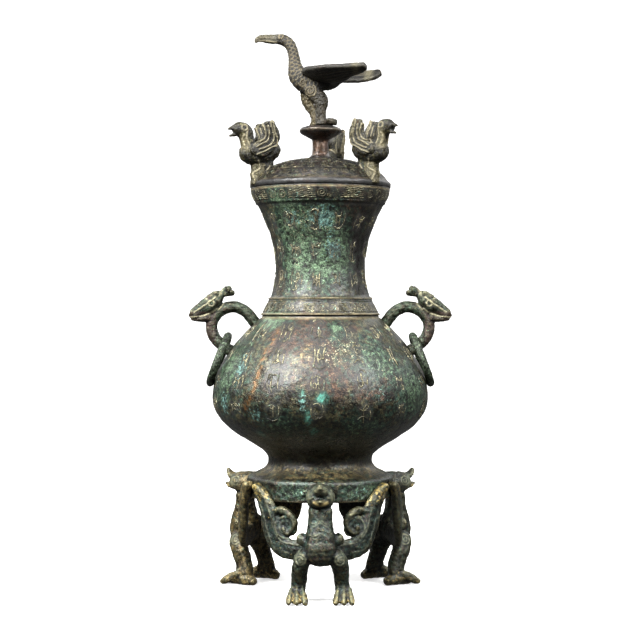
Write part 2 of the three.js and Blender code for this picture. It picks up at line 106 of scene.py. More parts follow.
def spiral(centre, radius, turns, start, way=1, count=40, inner=0.12):
    """A flat spiral: its distance from the centre falls evenly from `radius` to the share `inner`
    of it while the angle grows from `start` degrees by `turns` full turns."""
    t = np.linspace(0, 1, count)
    angle = math.radians(start) + way * t * turns * FULL
    reach = radius * (1 - (1 - inner) * t)
    return np.stack([centre[0] + reach * np.cos(angle), centre[1] + reach * np.sin(angle)], 1)


def turned_by(points, degrees):
    """The points turned about the vessel's axis, counter-clockwise seen from above."""
    c, s = math.cos(math.radians(degrees)), math.sin(math.radians(degrees))
    return points @ np.array([[c, s, 0], [-s, c, 0], [0, 0, 1]])


def lumps(points, size, seed, waves=18):
    """A rolling random field from about -1 to 1, with lumps about `size` across: the sum of
    cosine waves in random directions, 1.2 to 3.2 times `size` long, over the root of their number."""
    random = np.random.default_rng(seed)
    way = random.normal(size=(waves, points.shape[1]))
    way /= np.linalg.norm(way, axis=1, keepdims=True)
    pitch = size * random.uniform(1.2, 3.2, (waves, 1))
    phase = random.uniform(0, FULL, waves)
    return np.cos(points @ (way / pitch).T * FULL + phase).sum(1) / math.sqrt(waves * 1.4)


def ramp(values, start, end):
    """0 up to `start` and 1 from `end` on, with a straight line between. `end` may be the lower."""
    return np.clip((values - start) / (end - start), 0, 1)


def bell(values, centre, width, power=2):
    """e to the power of minus a power of the distance from the centre over the width."""
    return np.exp(-((values - centre) / width) ** power)


# ---- Surfaces ----

def grid_quads(n, m):
    """Quads over n rings of m points: point j of ring i joins the next point round and the next
    ring, so that they face outwards where the points run counter-clockwise up the rings."""
    i, j = np.meshgrid(np.arange(n - 1), np.arange(m), indexing="ij")
    k = (j + 1) % m
    return np.stack([i * m + j, i * m + k, (i + 1) * m + k, (i + 1) * m + j], -1).reshape(-1, 4)


def capped(rings, first, last):
    """A closed skin over a grid of rings of points, with a fan of triangles to a pole at each end."""
    n, m = rings.shape[:2]
    quads = grid_quads(n, m)
    j, k = np.arange(m), (np.arange(m) + 1) % m
    low = np.stack([np.full(m, n * m), k, j], -1)
    high = np.stack([np.full(m, n * m + 1), (n - 1) * m + j, (n - 1) * m + k], -1)
    points = np.vstack([rings.reshape(-1, 3), np.reshape(first, (1, 3)), np.reshape(last, (1, 3))])
    return points, [quads, np.vstack([low, high])]


def on_outline(outline, along, angle, lift=0.0):
    """A point of the surface that an outline of (radius, height) sweeps round the axis:
    `along` is the way run up the outline, `angle` goes round from the front towards +X,
    and `lift` is the height over the surface, square to it."""
    run = lengths(outline)
    slope = np.gradient(outline, run, axis=0)
    slope /= np.linalg.norm(slope, axis=1, keepdims=True)
    out_r, out_z = (np.interp(along, run, v) for v in (slope[:, 1], -slope[:, 0]))
    r = np.interp(along, run, outline[:, 0]) + lift * out_r
    z = np.interp(along, run, outline[:, 1]) + lift * out_z
    return np.stack([r * np.sin(angle), -r * np.cos(angle), z + 0 * angle], -1)


# The dome at a limb's end: the turns of its two sections, and its height as a share of the
# thinner half size
DOME_TURNS = np.radians([65, 30])
DOME_SHARE = 0.4
THINNEST = 0.3


def limb(stations, across=(0, 1, 0), sides=20, per=6, power=2.2):
    """A closed body of rounded sections along a smooth curve through its stations of
    x, y, z, half width and half height. The section point at angle a lies out by
    width * cos(a)^(2/power) along `across` and height * sin(a)^(2/power) square to it,
    and each end closes in a low dome."""
    s = np.asarray(stations, float)
    count = (len(s) - 1) * per + 1
    centre = spline(s[:, :3], count)
    size = np.maximum(spline(s[:, 3:], count), THINNEST)
    along = np.gradient(centre, axis=0)
    along /= np.linalg.norm(along, axis=1, keepdims=True)
    tips = []
    for at, way, turn in ((0, -1, DOME_TURNS), (-1, 1, DOME_TURNS[::-1])):
        reach = DOME_SHARE * size[at].min()
        tips.append(centre[at] + along[at] * way * reach)
        added = [(centre[at] + along[at] * way * reach * np.sin(turn)[:, None], centre),
                 (size[at] * np.cos(turn)[:, None], size),
                 (np.repeat(along[at][None], len(turn), 0), along)]
        centre, size, along = (np.vstack(pair[::-way]) for pair in added)
    side = across(centre) if callable(across) else np.repeat(np.array([across], float), len(centre), 0)
    side = side - along * (side * along).sum(1, keepdims=True)
    side /= np.linalg.norm(side, axis=1, keepdims=True)
    rise = np.cross(along, side)
    angle = (np.arange(sides) + 0.5) / sides * FULL
    c, q = (np.sign(v) * np.abs(v) ** (2 / power) for v in (np.cos(angle), np.sin(angle)))
    rings = (centre[:, None] + side[:, None] * (size[:, :1] * c)[..., None]
             + rise[:, None] * (size[:, 1:] * q)[..., None])
    return capped(rings, *tips)


# Across a stroke, from right to left: the place as a share of the half width, and the lift as a
# share of the height, so that both edges lie under the surface
STROKE_ACROSS = np.array([1, 0.62, 0, -0.62, -1])
STROKE_LIFT = np.array([-0.6, 0.75, 1, 0.75, -0.6])
STROKE_TIP = 0.12  # share of the width left at a stroke's very end, before the root is taken


def ribbons(paths, width, height, place, ends=0.25):
    """Low rounded strokes on a surface. `paths` is (strokes, points, 2) in flat coordinates that
    `place(u, v, lift)` puts on the surface. The section rises from under the surface at both
    edges to `height` in the middle. Over the share `ends` of the length at each end, the width
    falls with the root of the distance, and the stroke sinks under the surface."""
    count = paths.shape[1]
    heading = np.gradient(paths, axis=1)
    heading /= np.linalg.norm(heading, axis=2, keepdims=True) + 1e-9
    side = np.stack([-heading[..., 1], heading[..., 0]], -1)
    t = np.linspace(0, 1, count)
    taper = np.clip(np.minimum(t, 1 - t) / ends + STROKE_TIP, 0, 1) ** 0.5
    spot = paths[:, :, None] + side[:, :, None] * (
        np.reshape(width, (-1, 1, 1, 1)) / 2 * (taper[:, None] * STROKE_ACROSS)[None, ..., None])
    raised = height * (STROKE_LIFT * taper[:, None] - 0.5 * (1 - taper[:, None]))
    solid = place(spot[..., 0], spot[..., 1], np.broadcast_to(raised, spot.shape[:3]))
    strokes, _, m, _ = solid.shape
    one = grid_quads(count, m)
    j = np.arange(1, m - 1)
    start = np.stack([0 * j, j + 1, j], -1)
    stop = np.stack([0 * j, j, j + 1], -1) + (count - 1) * m
    base = (np.arange(strokes) * count * m)[:, None, None]
    return solid.reshape(-1, 3), [(one + base).reshape(-1, 4),
                                  (np.vstack([start, stop]) + base).reshape(-1, 3)]


def merged(bodies):
    """Several sets of points and faces as one."""
    points, faces, base = [], [], 0
    for p, parts in bodies:
        points.append(p)
        faces += [f + base for f in parts]
        base += len(p)
    return np.vstack(points), faces


def mesh_of(name, points, faces, marks=None):
    """A smooth-shaded mesh in metres, with one number per point for each mark."""
    mesh = bpy.data.meshes.new(name)
    mesh.from_pydata((points * METRES).tolist(), [], sum((f.tolist() for f in faces), []))
    mesh.polygons.foreach_set("use_smooth", np.ones(len(mesh.polygons), bool))
    for key, value in (marks or {}).items():
        layer = mesh.attributes.new(key, "FLOAT", "POINT")
        layer.data.foreach_set("value", value.astype(np.float32))
    mesh.update()
    return mesh


BATCH = 2000000  # the most pairs of a point and a line's step that are worked out at once


def near(coords, path, reach):
    """How far each point is from a broken line, up to `reach`: the least distance to any of its
    steps, each met at the foot of the perpendicular or at an end."""
    path = np.asarray(path, float)
    out = np.full(len(coords), float(reach))
    box = (coords > path.min(0) - reach) & (coords < path.max(0) + reach)
    inside = np.flatnonzero(box.all(1))
    start, step = path[:-1], np.diff(path, axis=0)
    step_sq = (step ** 2).sum(1) + 1e-12
    for part in np.array_split(inside, max(1, len(inside) * len(start) // BATCH)):
        arm = coords[part][:, None] - start
        t = np.clip((arm * step).sum(2) / step_sq, 0, 1)
        gap = np.linalg.norm(arm - t[..., None] * step, axis=2)
        out[part] = np.minimum(out[part], gap.min(1, initial=reach))
    return out


class Skin:
    """A closed surface worked on as whole arrays: points, quads, outward normals and marks.
    `here` and `there` list both ends of every edge."""

    def __init__(self, points, quads):
        self.points, self.quads = points, quads
        a, b = quads.ravel(), np.roll(quads, -1, 1).ravel()
        self.here, self.there = np.concatenate([a, b]), np.concatenate([b, a])
        self.degree = np.bincount(self.here, minlength=len(points))
        self.marks = {}
        self.refresh()

    def refresh(self):
        """Normals: the sum of the crossed diagonals of the quads round each point."""
        p = self.points[self.quads]
        cross = np.cross(p[:, 2] - p[:, 0], p[:, 3] - p[:, 1])
        total = np.stack([np.bincount(self.quads.ravel(), np.repeat(cross[:, k], 4), len(self.points))
                          for k in range(3)], 1)
        self.normals = total / (np.linalg.norm(total, axis=1, keepdims=True) + 1e-12)

    def mean(self, values):
        """The mean of each point's neighbours."""
        if values.ndim == 1:
            return np.bincount(self.here, values[self.there], len(self.points)) / self.degree
        return np.stack([self.mean(values[:, k]) for k in range(values.shape[1])], 1)

    def smooth(self, rounds):
        """Smooths without shrinking: steps half way to the neighbours' mean, then back by a little
        more than that."""
        for _ in range(rounds):
            for step in (0.5, -0.52):
                self.points = self.points + step * (self.mean(self.points) - self.points)
        self.refresh()

    def push(self, height):
        """Moves each point along its normal."""
        self.points = self.points + self.normals * height[:, None]
        self.refresh()

    def shade(self, rounds=14, full=0.9):
        """Marks hollows and crests: how far each point lies under or over the surface smoothed
        for some rounds, as a share of `full` mm. The hollows are painted black, partly as soil and partly
        as painted shade."""
        soft = self.points
        for _ in range(rounds):
            soft = soft + 0.8 * (self.mean(soft) - soft)
        depth = ((soft - self.points) * self.normals).sum(1) / full
        self.marks["hollow_soil_and_shade"] = np.clip(depth, 0, 1)
        self.marks["crest"] = np.clip(-depth, 0, 1)


def fused(solids, voxel, rounds=5):
    """One skin round several overlapping closed bodies: a voxel remesh in cells of `voxel` mm,
    taken once and smoothed."""
    points, faces = merged(solids)
    thing = bpy.data.objects.new("fusing", mesh_of("fusing", points, faces))
    bpy.context.scene.collection.objects.link(thing)
    remesh = thing.modifiers.new("skin", "REMESH")
    remesh.mode = "VOXEL"
    remesh.voxel_size = voxel * METRES
    made = thing.evaluated_get(bpy.context.evaluated_depsgraph_get()).to_mesh()
    found = np.empty(len(made.vertices) * 3, np.float32)
    made.vertices.foreach_get("co", found)
    corners = np.empty(len(made.loops), np.int32)
    made.loops.foreach_get("vertex_index", corners)
    mesh = thing.data
    bpy.data.objects.remove(thing)
    bpy.data.meshes.remove(mesh)
    skin = Skin(found.reshape(-1, 3).astype(float) / METRES, corners.reshape(-1, 4).astype(int))
    skin.smooth(rounds)
    return skin


FADE_REACH = 3     # a line's mark ends at this many of its widths
BESIDE_WIDTH = 2.1  # how many times wider than an engraved line its sunk edges are
SUNK_SHARE = 0.7   # their depth as a share of the line's height


def lines(coords, paths, width, mask=None):
    """How strongly each point lies on one of the lines: the bell of its distance over `width`."""
    most = np.zeros(len(coords))
    for path in paths:
        gap = near(coords, path, FADE_REACH * width)
        most = np.maximum(most, bell(gap, 0, width) * (gap < FADE_REACH * width))
    return most if mask is None else most * mask


def engrave(skin, coords, paths, width, height, mask=None):
    """Raises rounded lines with a sunk edge on each side, and marks both for the finish. The sunk edges are
    painted black, partly as soil and partly as painted shade.
    """
    on = lines(coords, paths, width, mask)
    beside = np.maximum(lines(coords, paths, BESIDE_WIDTH * width, mask) - on, 0)
    skin.push(height * (on - SUNK_SHARE * beside))
    skin.marks["ridge"] = np.maximum(skin.marks.get("ridge", 0 * on), on)
    skin.marks["edge"] = np.maximum(skin.marks.get("edge", 0 * on), beside)


def side_mask(skin, axis, way, low=0.15, high=0.5):
    """1 where the surface faces `way` along an axis, fading to 0 where it turns away."""
    return ramp(skin.normals[:, axis] * way, low, high)


# ---- Materials ----

def linear(code):
    """An sRGB hex colour as linear RGBA."""
    parts = [int(code[i:i + 2], 16) / 255 for i in (1, 3, 5)]
    return (*[v / 12.92 if v <= 0.04045 else ((v + 0.055) / 1.055) ** 2.4 for v in parts], 1)


def add(tree, kind, inputs=None, **settings):
    """One node with its settings; each input is given a value or joined to an output."""
    node = tree.nodes.new(kind)
    for key, value in settings.items():
        setattr(node, key, value)
    for key, value in (inputs or {}).items():
        if isinstance(value, bpy.types.NodeSocket):
            tree.links.new(value, node.inputs[key])
        else:
            node.inputs[key].default_value = value
    return node


BUMP_DEPTH = 0.8 * METRES  # crust stands about this high over pits on such vessels
LAYER_SHIFT = np.array([0.31, 0.17, 0.23])  # metres between one layer's noise and the next's
ZONE_PULL = 0.55           # how much a mesh's mark adds to the noise of its layer
# Light and dark: the noise levels that count as lowest and highest, and the factors they give
GRIT_SHADE = {"From Min": 0.36, "From Max": 0.66, "To Min": 0.15, "To Max": 1.9}
BLOTCH_SHADE = {"From Min": 0.40, "From Max": 0.62, "To Min": 0.25, "To Max": 1.75}
# Black in the hollows, partly burial soil and partly painted shade: its colour, how much of the colour
# below it hides, what it adds to roughness
SOIL_AND_SHADE, SOIL_AND_SHADE_COVER, SOIL_DULL = "#050504", 0.92, 0.45
# How unevenly the grit makes the gloss, and what evens that out in the mean
UNEVEN, UNEVEN_MEAN = 0.25, 0.12
PIT_SIZE, PIT_DEPTH = 2.6, 2.0  # pits' size and depth, in those of the grit
# The glossy film follows the crust weakly, and is duller than varnish
FILM_BUMP, FILM_ROUGHNESS = 0.22, 0.33


def bronze(name, ground, layers, marks=(), rough=(0.3, 0.55), metal=(0.75, 0.25), bump=0.55,
           grit=0.7, coat=0.0, soil_and_shade_marks=("edge", "hollow_soil_and_shade"), blotch=4.0):
    """Cast bronze under patina. Over the ground colour lie patches of patina: each layer is a
    colour, the patch size in mm, the noise level where it starts, its softness, and a mark of the
    mesh that brings it out or None. The soil-and-shade marks say where the hollows are painted black,
    partly as soil that fills them and partly as painted shade: it is dull and has no metal in it.
    Marks are colours that a mark of the mesh paints outright.
    The patina is duller and less metallic than the bronze that shows between it, and `coat` is
    the thin glossy film that rubbing and wax leave over both.
    `grit` is the grain of the crust in mm. Real grains are about 0.1 to 0.3 mm, which is less than
    a pixel of the render, so it is drawn three or more times coarser. `blotch` is the size in mm of
    the cloudy changes of depth, as on the real metal."""
    material = bpy.data.materials.new(name)
    material.use_nodes = True
    tree = material.node_tree
    shader = tree.nodes["Principled BSDF"]
    place = add(tree, "ShaderNodeTexCoord").outputs["Object"]
    # Layers of patina over the ground; `cover` is where any of them lies
    colour = cover = None
    for number, (code, size, level, soft, mark) in enumerate(layers):
        moved = add(tree, "ShaderNodeMapping", {
            "Vector": place, "Location": tuple(LAYER_SHIFT * number)})
        noise = add(tree, "ShaderNodeTexNoise", {
            "Vector": moved.outputs[0], "Scale": 1 / (size * METRES), "Detail": 7.0,
            "Roughness": 0.7, "Distortion": 0.35})
        value = noise.outputs["Fac"]
        if mark:
            zone = add(tree, "ShaderNodeAttribute", attribute_name=mark)
            value = add(tree, "ShaderNodeMath", {0: zone.outputs["Fac"], 1: ZONE_PULL, 2: value},
                        operation="MULTIPLY_ADD").outputs[0]
        mask = add(tree, "ShaderNodeMapRange", {
            "Value": value, "From Min": level - soft, "From Max": level + soft},
            interpolation_type="SMOOTHSTEP").outputs[0]
        below = colour or linear(ground)
        colour = add(tree, "ShaderNodeMix", {0: mask, 6: below, 7: linear(code)},
                     data_type="RGBA").outputs[2]
        cover = mask if cover is None else add(
            tree, "ShaderNodeMath", {0: cover, 1: mask}, operation="MAXIMUM").outputs[0]
    # Light and dark of the grit, times that of the blotches
    fine = add(tree, "ShaderNodeTexNoise", {
        "Vector": place, "Scale": 1 / (grit * METRES), "Detail": 3.0, "Roughness": 0.7})
    shade = add(tree, "ShaderNodeMapRange", {"Value": fine.outputs["Fac"], **GRIT_SHADE})
    wide = add(tree, "ShaderNodeTexNoise", {
        "Vector": place, "Scale": 1 / (blotch * METRES), "Detail": 5.0, "Roughness": 0.75,
        "Distortion": 0.6})
    depth = add(tree, "ShaderNodeMapRange", {"Value": wide.outputs["Fac"], **BLOTCH_SHADE})
    mottle = add(tree, "ShaderNodeMath", {0: shade.outputs[0], 1: depth.outputs[0]},
                 operation="MULTIPLY")
    colour = add(tree, "ShaderNodeMix", {0: 1.0, 6: colour, 7: mottle.outputs[0]},
                 data_type="RGBA", blend_type="MULTIPLY").outputs[2]
    # Black soil and painted shade in the hollows
    soil_and_shade = None
    for mark in soil_and_shade_marks:
        found = add(tree, "ShaderNodeAttribute", attribute_name=mark).outputs["Fac"]
        soil_and_shade = found if soil_and_shade is None else add(
            tree, "ShaderNodeMath", {0: soil_and_shade, 1: found}, operation="MAXIMUM").outputs[0]
    if soil_and_shade:
        soil_and_shade = add(tree, "ShaderNodeMath", {0: soil_and_shade, 1: 1.0}, operation="MULTIPLY",
                   use_clamp=True).outputs[0]
        packed = add(tree, "ShaderNodeMath", {0: soil_and_shade, 1: SOIL_AND_SHADE_COVER}, operation="MULTIPLY")
        colour = add(tree, "ShaderNodeMix", {0: packed.outputs[0], 6: colour, 7: linear(SOIL_AND_SHADE)},
                     data_type="RGBA").outputs[2]
    # Painted marks, worn through in places by a noise of the mark's own size
    for mark, code, strength, size in marks:
        painted = add(tree, "ShaderNodeAttribute", attribute_name=mark).outputs["Fac"]
        patch = add(tree, "ShaderNodeTexNoise", {
            "Vector": place, "Scale": 1 / (size * METRES), "Detail": 3.0})
        worn = add(tree, "ShaderNodeMapRange", {
            "Value": patch.outputs["Fac"], "From Min": 0.3, "From Max": 0.6,
            "To Min": 0.25 * strength, "To Max": strength})
        mask = add(tree, "ShaderNodeMath", {0: painted, 1: worn.outputs[0]},
                   operation="MULTIPLY", use_clamp=True).outputs[0]
        colour = add(tree, "ShaderNodeMix", {0: mask, 6: colour, 7: linear(code)},
                     data_type="RGBA").outputs[2]
    # Gloss: bare metal to patina, a little uneven with the grit, dull where the hollows are blackened
    smooth = add(tree, "ShaderNodeMapRange", {
        "Value": cover, "To Min": rough[0], "To Max": rough[1]})
    uneven = add(tree, "ShaderNodeMath", {
        0: fine.outputs["Fac"], 1: UNEVEN, 2: smooth.outputs[0]}, operation="MULTIPLY_ADD")
    roughness = add(tree, "ShaderNodeMath", {0: uneven.outputs[0], 1: UNEVEN_MEAN},
                    operation="SUBTRACT").outputs[0]
    metallic = add(tree, "ShaderNodeMapRange", {
        "Value": cover, "To Min": metal[0], "To Max": metal[1]}).outputs[0]
    if soil_and_shade:
        roughness = add(tree, "ShaderNodeMath", {0: soil_and_shade, 1: SOIL_DULL, 2: roughness},
                        operation="MULTIPLY_ADD").outputs[0]
        bare = add(tree, "ShaderNodeMath", {0: 1.0, 1: soil_and_shade}, operation="SUBTRACT").outputs[0]
        metallic = add(tree, "ShaderNodeMath", {0: metallic, 1: bare},
                       operation="MULTIPLY").outputs[0]
    # Pits under the grit itself
    pits = add(tree, "ShaderNodeTexNoise", {
        "Vector": place, "Scale": 1 / (PIT_SIZE * grit * METRES), "Detail": 4.0, "Roughness": 0.65})
    crust_height = add(tree, "ShaderNodeMath", {
        0: pits.outputs["Fac"], 1: PIT_DEPTH, 2: fine.outputs["Fac"]},
        operation="MULTIPLY_ADD").outputs[0]
    relief = add(tree, "ShaderNodeBump", {
        "Strength": bump, "Distance": BUMP_DEPTH, "Height": crust_height})
    tree.links.new(colour, shader.inputs["Base Color"])
    tree.links.new(roughness, shader.inputs["Roughness"])
    tree.links.new(metallic, shader.inputs["Metallic"])
    tree.links.new(relief.outputs[0], shader.inputs["Normal"])
    if coat:
        film = add(tree, "ShaderNodeBump", {
            "Strength": FILM_BUMP, "Distance": BUMP_DEPTH, "Height": crust_height})
        tree.links.new(film.outputs[0], shader.inputs["Coat Normal"])
        shader.inputs["Coat Weight"].default_value = coat
        shader.inputs["Coat Roughness"].default_value = FILM_ROUGHNESS
    return material


# Tin bronze, cast and long buried: brown-black cuprite skin with malachite green, pale
# azurite-blue and turquoise crusts 2 to 6 mm across, iron stains about 1 cm across, and
# gold-coloured metal where it is rubbed. It gives the eye a broken, mottled gloss.
vase_bronze = bronze(
    "tin_bronze_mottled_patina", "#241e16",
    [("#45422d", 6, 0.52, 0.08, "olive"), ("#3c2a1d", 11, 0.62, 0.10, "rust"),
     ("#5b5034", 5, 0.72, 0.10, "ochre"), ("#25372c", 4.2, 0.56, 0.08, "green"),
     ("#50644c", 3.0, 0.68, 0.05, "green"), ("#6a8f86", 2.4, 0.76, 0.05, "blue"),
     ("#080907", 3.4, 0.56, 0.05, None), ("#a59e80", 1.5, 0.82, 0.04, "fleck")],
    # The first mark is painted shade on the vessel's sides and under the belly, with random dark patches
    marks=[("side_shade_and_dark_patches", "#110d0a", 0.9, 5), ("streak", "#6f4d28", 1.0, 1.6),
           ("spot", "#6fc4ae", 1.0, 1.2), ("pale", "#9a8c6a", 0.75, 4)],
    rough=(0.26, 0.42), metal=(0.85, 0.5), bump=0.5, grit=0.9, coat=0.34, soil_and_shade_marks=("dirt_and_shade",),
    blotch=3.4)

# Tin bronze rubbed on raised strokes: pale metal, with patches of green and dark skin 5 to 9 mm
# across left on some. It gives the eye broken light lines.
stroke_bronze = bronze(
    "rubbed_bronze_strokes", "#7d775c",
    [("#504c3a", 7, 0.48, 0.07, None), ("#1b1811", 9, 0.55, 0.06, None),
     ("#6d8c7a", 5, 0.62, 0.06, None), ("#c6bf9f", 2.4, 0.64, 0.05, None)],
    rough=(0.3, 0.45), metal=(0.7, 0.35), soil_and_shade_marks=())

# The same on the lid, where the strokes keep more of the dark skin, so that they only glint.
lid_stroke_bronze = bronze(
    "dark_bronze_lid_strokes", "#5a543f",
    [("#2a271c", 5, 0.48, 0.07, None), ("#100e0a", 7, 0.54, 0.06, None),
     ("#55654c", 4, 0.62, 0.06, None), ("#9a9272", 2.0, 0.66, 0.05, None)],
    rough=(0.28, 0.42), metal=(0.8, 0.45), soil_and_shade_marks=())

# Tin bronze with a darker, browner skin than the vessel's and few crusts. It gives the eye a dark
# dome with a soft shine, and its post shows copper red.
lid_bronze = bronze(
    "tin_bronze_dark_lid", "#0f0d0a",
    [("#1b1a12", 4, 0.50, 0.09, None), ("#261915", 8, 0.54, 0.08, None),
     ("#26382a", 3, 0.66, 0.06, None), ("#060605", 3, 0.54, 0.06, None),
     ("#7c7353", 1.4, 0.65, 0.03, None)],
    marks=[("rust", "#46301f", 0.75, 2.4), ("pale", "#7a6c53", 0.6, 4)],
    rough=(0.26, 0.4), metal=(0.85, 0.5), bump=0.4, grit=0.9, coat=0.35, soil_and_shade_marks=("dirt_and_shade",))

# Tin bronze with a thin film: olive-gold with a pale raised net of scales over dark, the wings
# almost black, in part dark patina and in part painted shade of their undersides. It gives the eye a warm,
# dull gold.
finial_bronze = bronze(
    "tin_bronze_golden_bird", "#0e0b08",
    [("#221d14", 3, 0.52, 0.10, None), ("#0a0b09", 8, 0.50, 0.08, "wing"),
     ("#31221c", 5, 0.62, 0.06, None), ("#5f5b45", 1.6, 0.66, 0.04, None)],
    marks=[("ochre", "#4f4528", 0.75, 1.4), ("ridge", "#665c43", 0.85, 1.0),
           ("crest", "#6a614c", 0.3, 2), ("pale", "#6e6850", 0.6, 1.4)],
    rough=(0.28, 0.44), metal=(0.75, 0.4))

# Tin bronze with yellow-green patina, rubbed pale on the feather ribs and black between them. It
# gives the eye strong stripes.
rim_bird_bronze = bronze(
    "tin_bronze_pale_birds", "#15120c",
    [("#454229", 2.4, 0.53, 0.07, None), ("#0a0906", 3.6, 0.48, 0.07, None),
     ("#23301c", 2.8, 0.62, 0.06, None), ("#4a3017", 3.6, 0.64, 0.05, None)],
    marks=[("ochre", "#6b6344", 0.75, 1.4), ("ridge", "#8a8268", 0.9, 1.2),
           ("crest", "#625b45", 0.45, 2)],
    rough=(0.28, 0.44), metal=(0.7, 0.4))

# Tin bronze, precast and often held: green-black, with olive wear on the edges. It gives the eye
# dark loops with light heads.
handle_bronze = bronze(
    "tin_bronze_green_black_handle", "#131510",
    [("#1e2a1f", 4, 0.46, 0.10, None), ("#2b1e1a", 5, 0.58, 0.06, "plum"),
     ("#4a6048", 1.8, 0.62, 0.05, None), ("#665d3e", 3, 0.66, 0.05, None)],
    marks=[("ridge", "#a8a282", 0.85, 1.4), ("crest", "#7b7658", 0.6, 2)],
    rough=(0.27, 0.46), metal=(0.85, 0.45))

# Tin bronze wire rings: grey-green and duller than the handles, with worn spots 1 to 2 mm across.
ring_bronze = bronze(
    "tin_bronze_grey_green_ring", "#252b1f",
    [("#4a5745", 2.4, 0.52, 0.10, None), ("#10130d", 3, 0.56, 0.07, None),
     ("#7c7b5e", 1.6, 0.65, 0.05, None)],
    rough=(0.3, 0.5), metal=(0.7, 0.4))


def bearer_finish(name, ground, film, plum, gold):
    """Cast tin bronze under handled patina: a dark film, plum-brown on the chest and worn gold on
    the toes and the wings' ends. It gives the eye dark birds with light crests."""
    return bronze(
        name, ground,
        [(film, 5, 0.48, 0.10, None), (plum, 6, 0.60, 0.06, "plum"),
         ("#3f5c4f", 2.6, 0.61, 0.05, None), (gold, 3.2, 0.66, 0.06, "gold"),
         ("#080907", 4.0, 0.56, 0.05, None)],
        marks=[("ridge", "#7c856f", 0.42, 2), ("crest", "#8a8460", 0.6, 2),
               ("bright", "#b09a60", 0.9, 3)],
        rough=(0.24, 0.44), metal=(0.8, 0.45), bump=0.45, coat=0.12, blotch=4.4)


bearer_bronze = bearer_finish("tin_bronze_teal_bird", "#11130f", "#1a2a25", "#2c2022", "#8a7740")
sandy_bronze = bearer_finish("tin_bronze_sandy_bird", "#1c1a12", "#5c4e2d", "#3a2a1c", "#948052")
brown_bronze = bearer_finish("tin_bronze_brown_bird", "#151310", "#1f261f", "#2f221a", "#5d4f2d")


def piece(name, points, faces, material, body="body", stands_for=(), marks=None):
    """A finished piece: its mesh, its finish, the body it rides on and the nodes it stands for."""
    thing = bpy.data.objects.new(name, mesh_of(name, points, faces, marks))
    bpy.context.scene.collection.objects.link(thing)
    thing.data.materials.append(material)
    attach(thing, body)
    if stands_for:
        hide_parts(*stands_for)


# ---- Vessel ----

skirt = sweep((FOOT_R, BAND_TOP), (0.476, 0.3), (0, 0.59), (WAIST_R, WAIST), 16)
lower_belly = sweep((WAIST_R, WAIST), (0, 0.263), (0, 0.596), (BELLY_R, BELLY), 44)
upper_belly = sweep((BELLY_R, BELLY), (0, 0.381), (0.475, 0.254), (SHOULDER_R, SHOULDER), 48)
neck_waist = NECK_BASE + (MOUTH_BASE - NECK_BASE) / 3
neck = np.vstack([
    sweep((NECK_BASE_R, NECK_BASE), (0.68, 0.33), (0, 0.35), (NECK_R, neck_waist), 16),
    sweep((NECK_R, neck_waist), (0, 0.34), (0.55, 0.29), (MOUTH_START_R, MOUTH_BASE), 34)[1:]])


def banded(heights, bumps):
    """The shoulder band's outline: the straight line between its two radii, 0.5 mm proud, plus
    rounded fillets. Each is a centre, a width and a height of a bell with the power 4."""
    face = (SHOULDER_R - (heights - SHOULDER) * (SHOULDER_R - NECK_BASE_R) / (NECK_BASE - SHOULDER)
            + 0.5)
    lift = sum(h * bell(heights, c, w, 4) for c, w, h in bumps)
    return np.stack([face + lift, heights], 1)


shoulder = np.vstack([
    [[SHOULDER_R - 1.0, SHOULDER + 0.5]],
    banded(np.linspace(SHOULDER + 1.1, NECK_BASE - 0.3, 44),
           [(SHOULDER + 1.5, 0.5, -1.0), (SHOULDER + 3.1, 0.8, 1.2), (SHOULDER + 5.2, 0.4, 0.4),
            (NECK_BASE - 3.0, 0.4, 0.4), (NECK_BASE - 1.0, 0.8, 1.1)])])
mouth = sweep((MOUTH_START_R + 0.8, MOUTH_BASE + 0.4), (0.55, 0.38), (0, 0.32),
              (MOUTH_R, MOUTH_TOP), 26)
# A low fillet at the foot of the mouth band
mouth[:, 0] += 0.35 * bell(mouth[:, 1], MOUTH_BASE + 1.2, 0.7, 4)
foot_band = np.array([[FOOT_R, z] for z in np.linspace(STAND + 0.6, BAND_TOP - 0.8, 14)])
outside = np.vstack([
    [[FOOT_R - 0.5, STAND]], foot_band, [[FOOT_R - 0.3, BAND_TOP - 0.2]], skirt[1:],
    lower_belly[1:], upper_belly[1:], shoulder, neck, mouth])
inner_curve = np.vstack([lower_belly[8:], upper_belly[1:], neck[2:]])[::4]
slope = np.gradient(inner_curve, axis=0)
slope /= np.linalg.norm(slope, axis=1, keepdims=True)
inside = inner_curve - WALL * np.stack([slope[:, 1], -slope[:, 0]], 1)
inside = np.vstack([inside, [[MOUTH_R - WALL, MOUTH_TOP - 4]], [[MOUTH_R - WALL, MOUTH_TOP]]])[::-1]
under = np.array([[4.0, WAIST], [28, WAIST], [WAIST_R - WALL, WAIST - 2], [46, BAND_TOP - 0.8],
                  [FOOT_R - WALL, BAND_TOP - 5], [FOOT_R - WALL, STAND]])

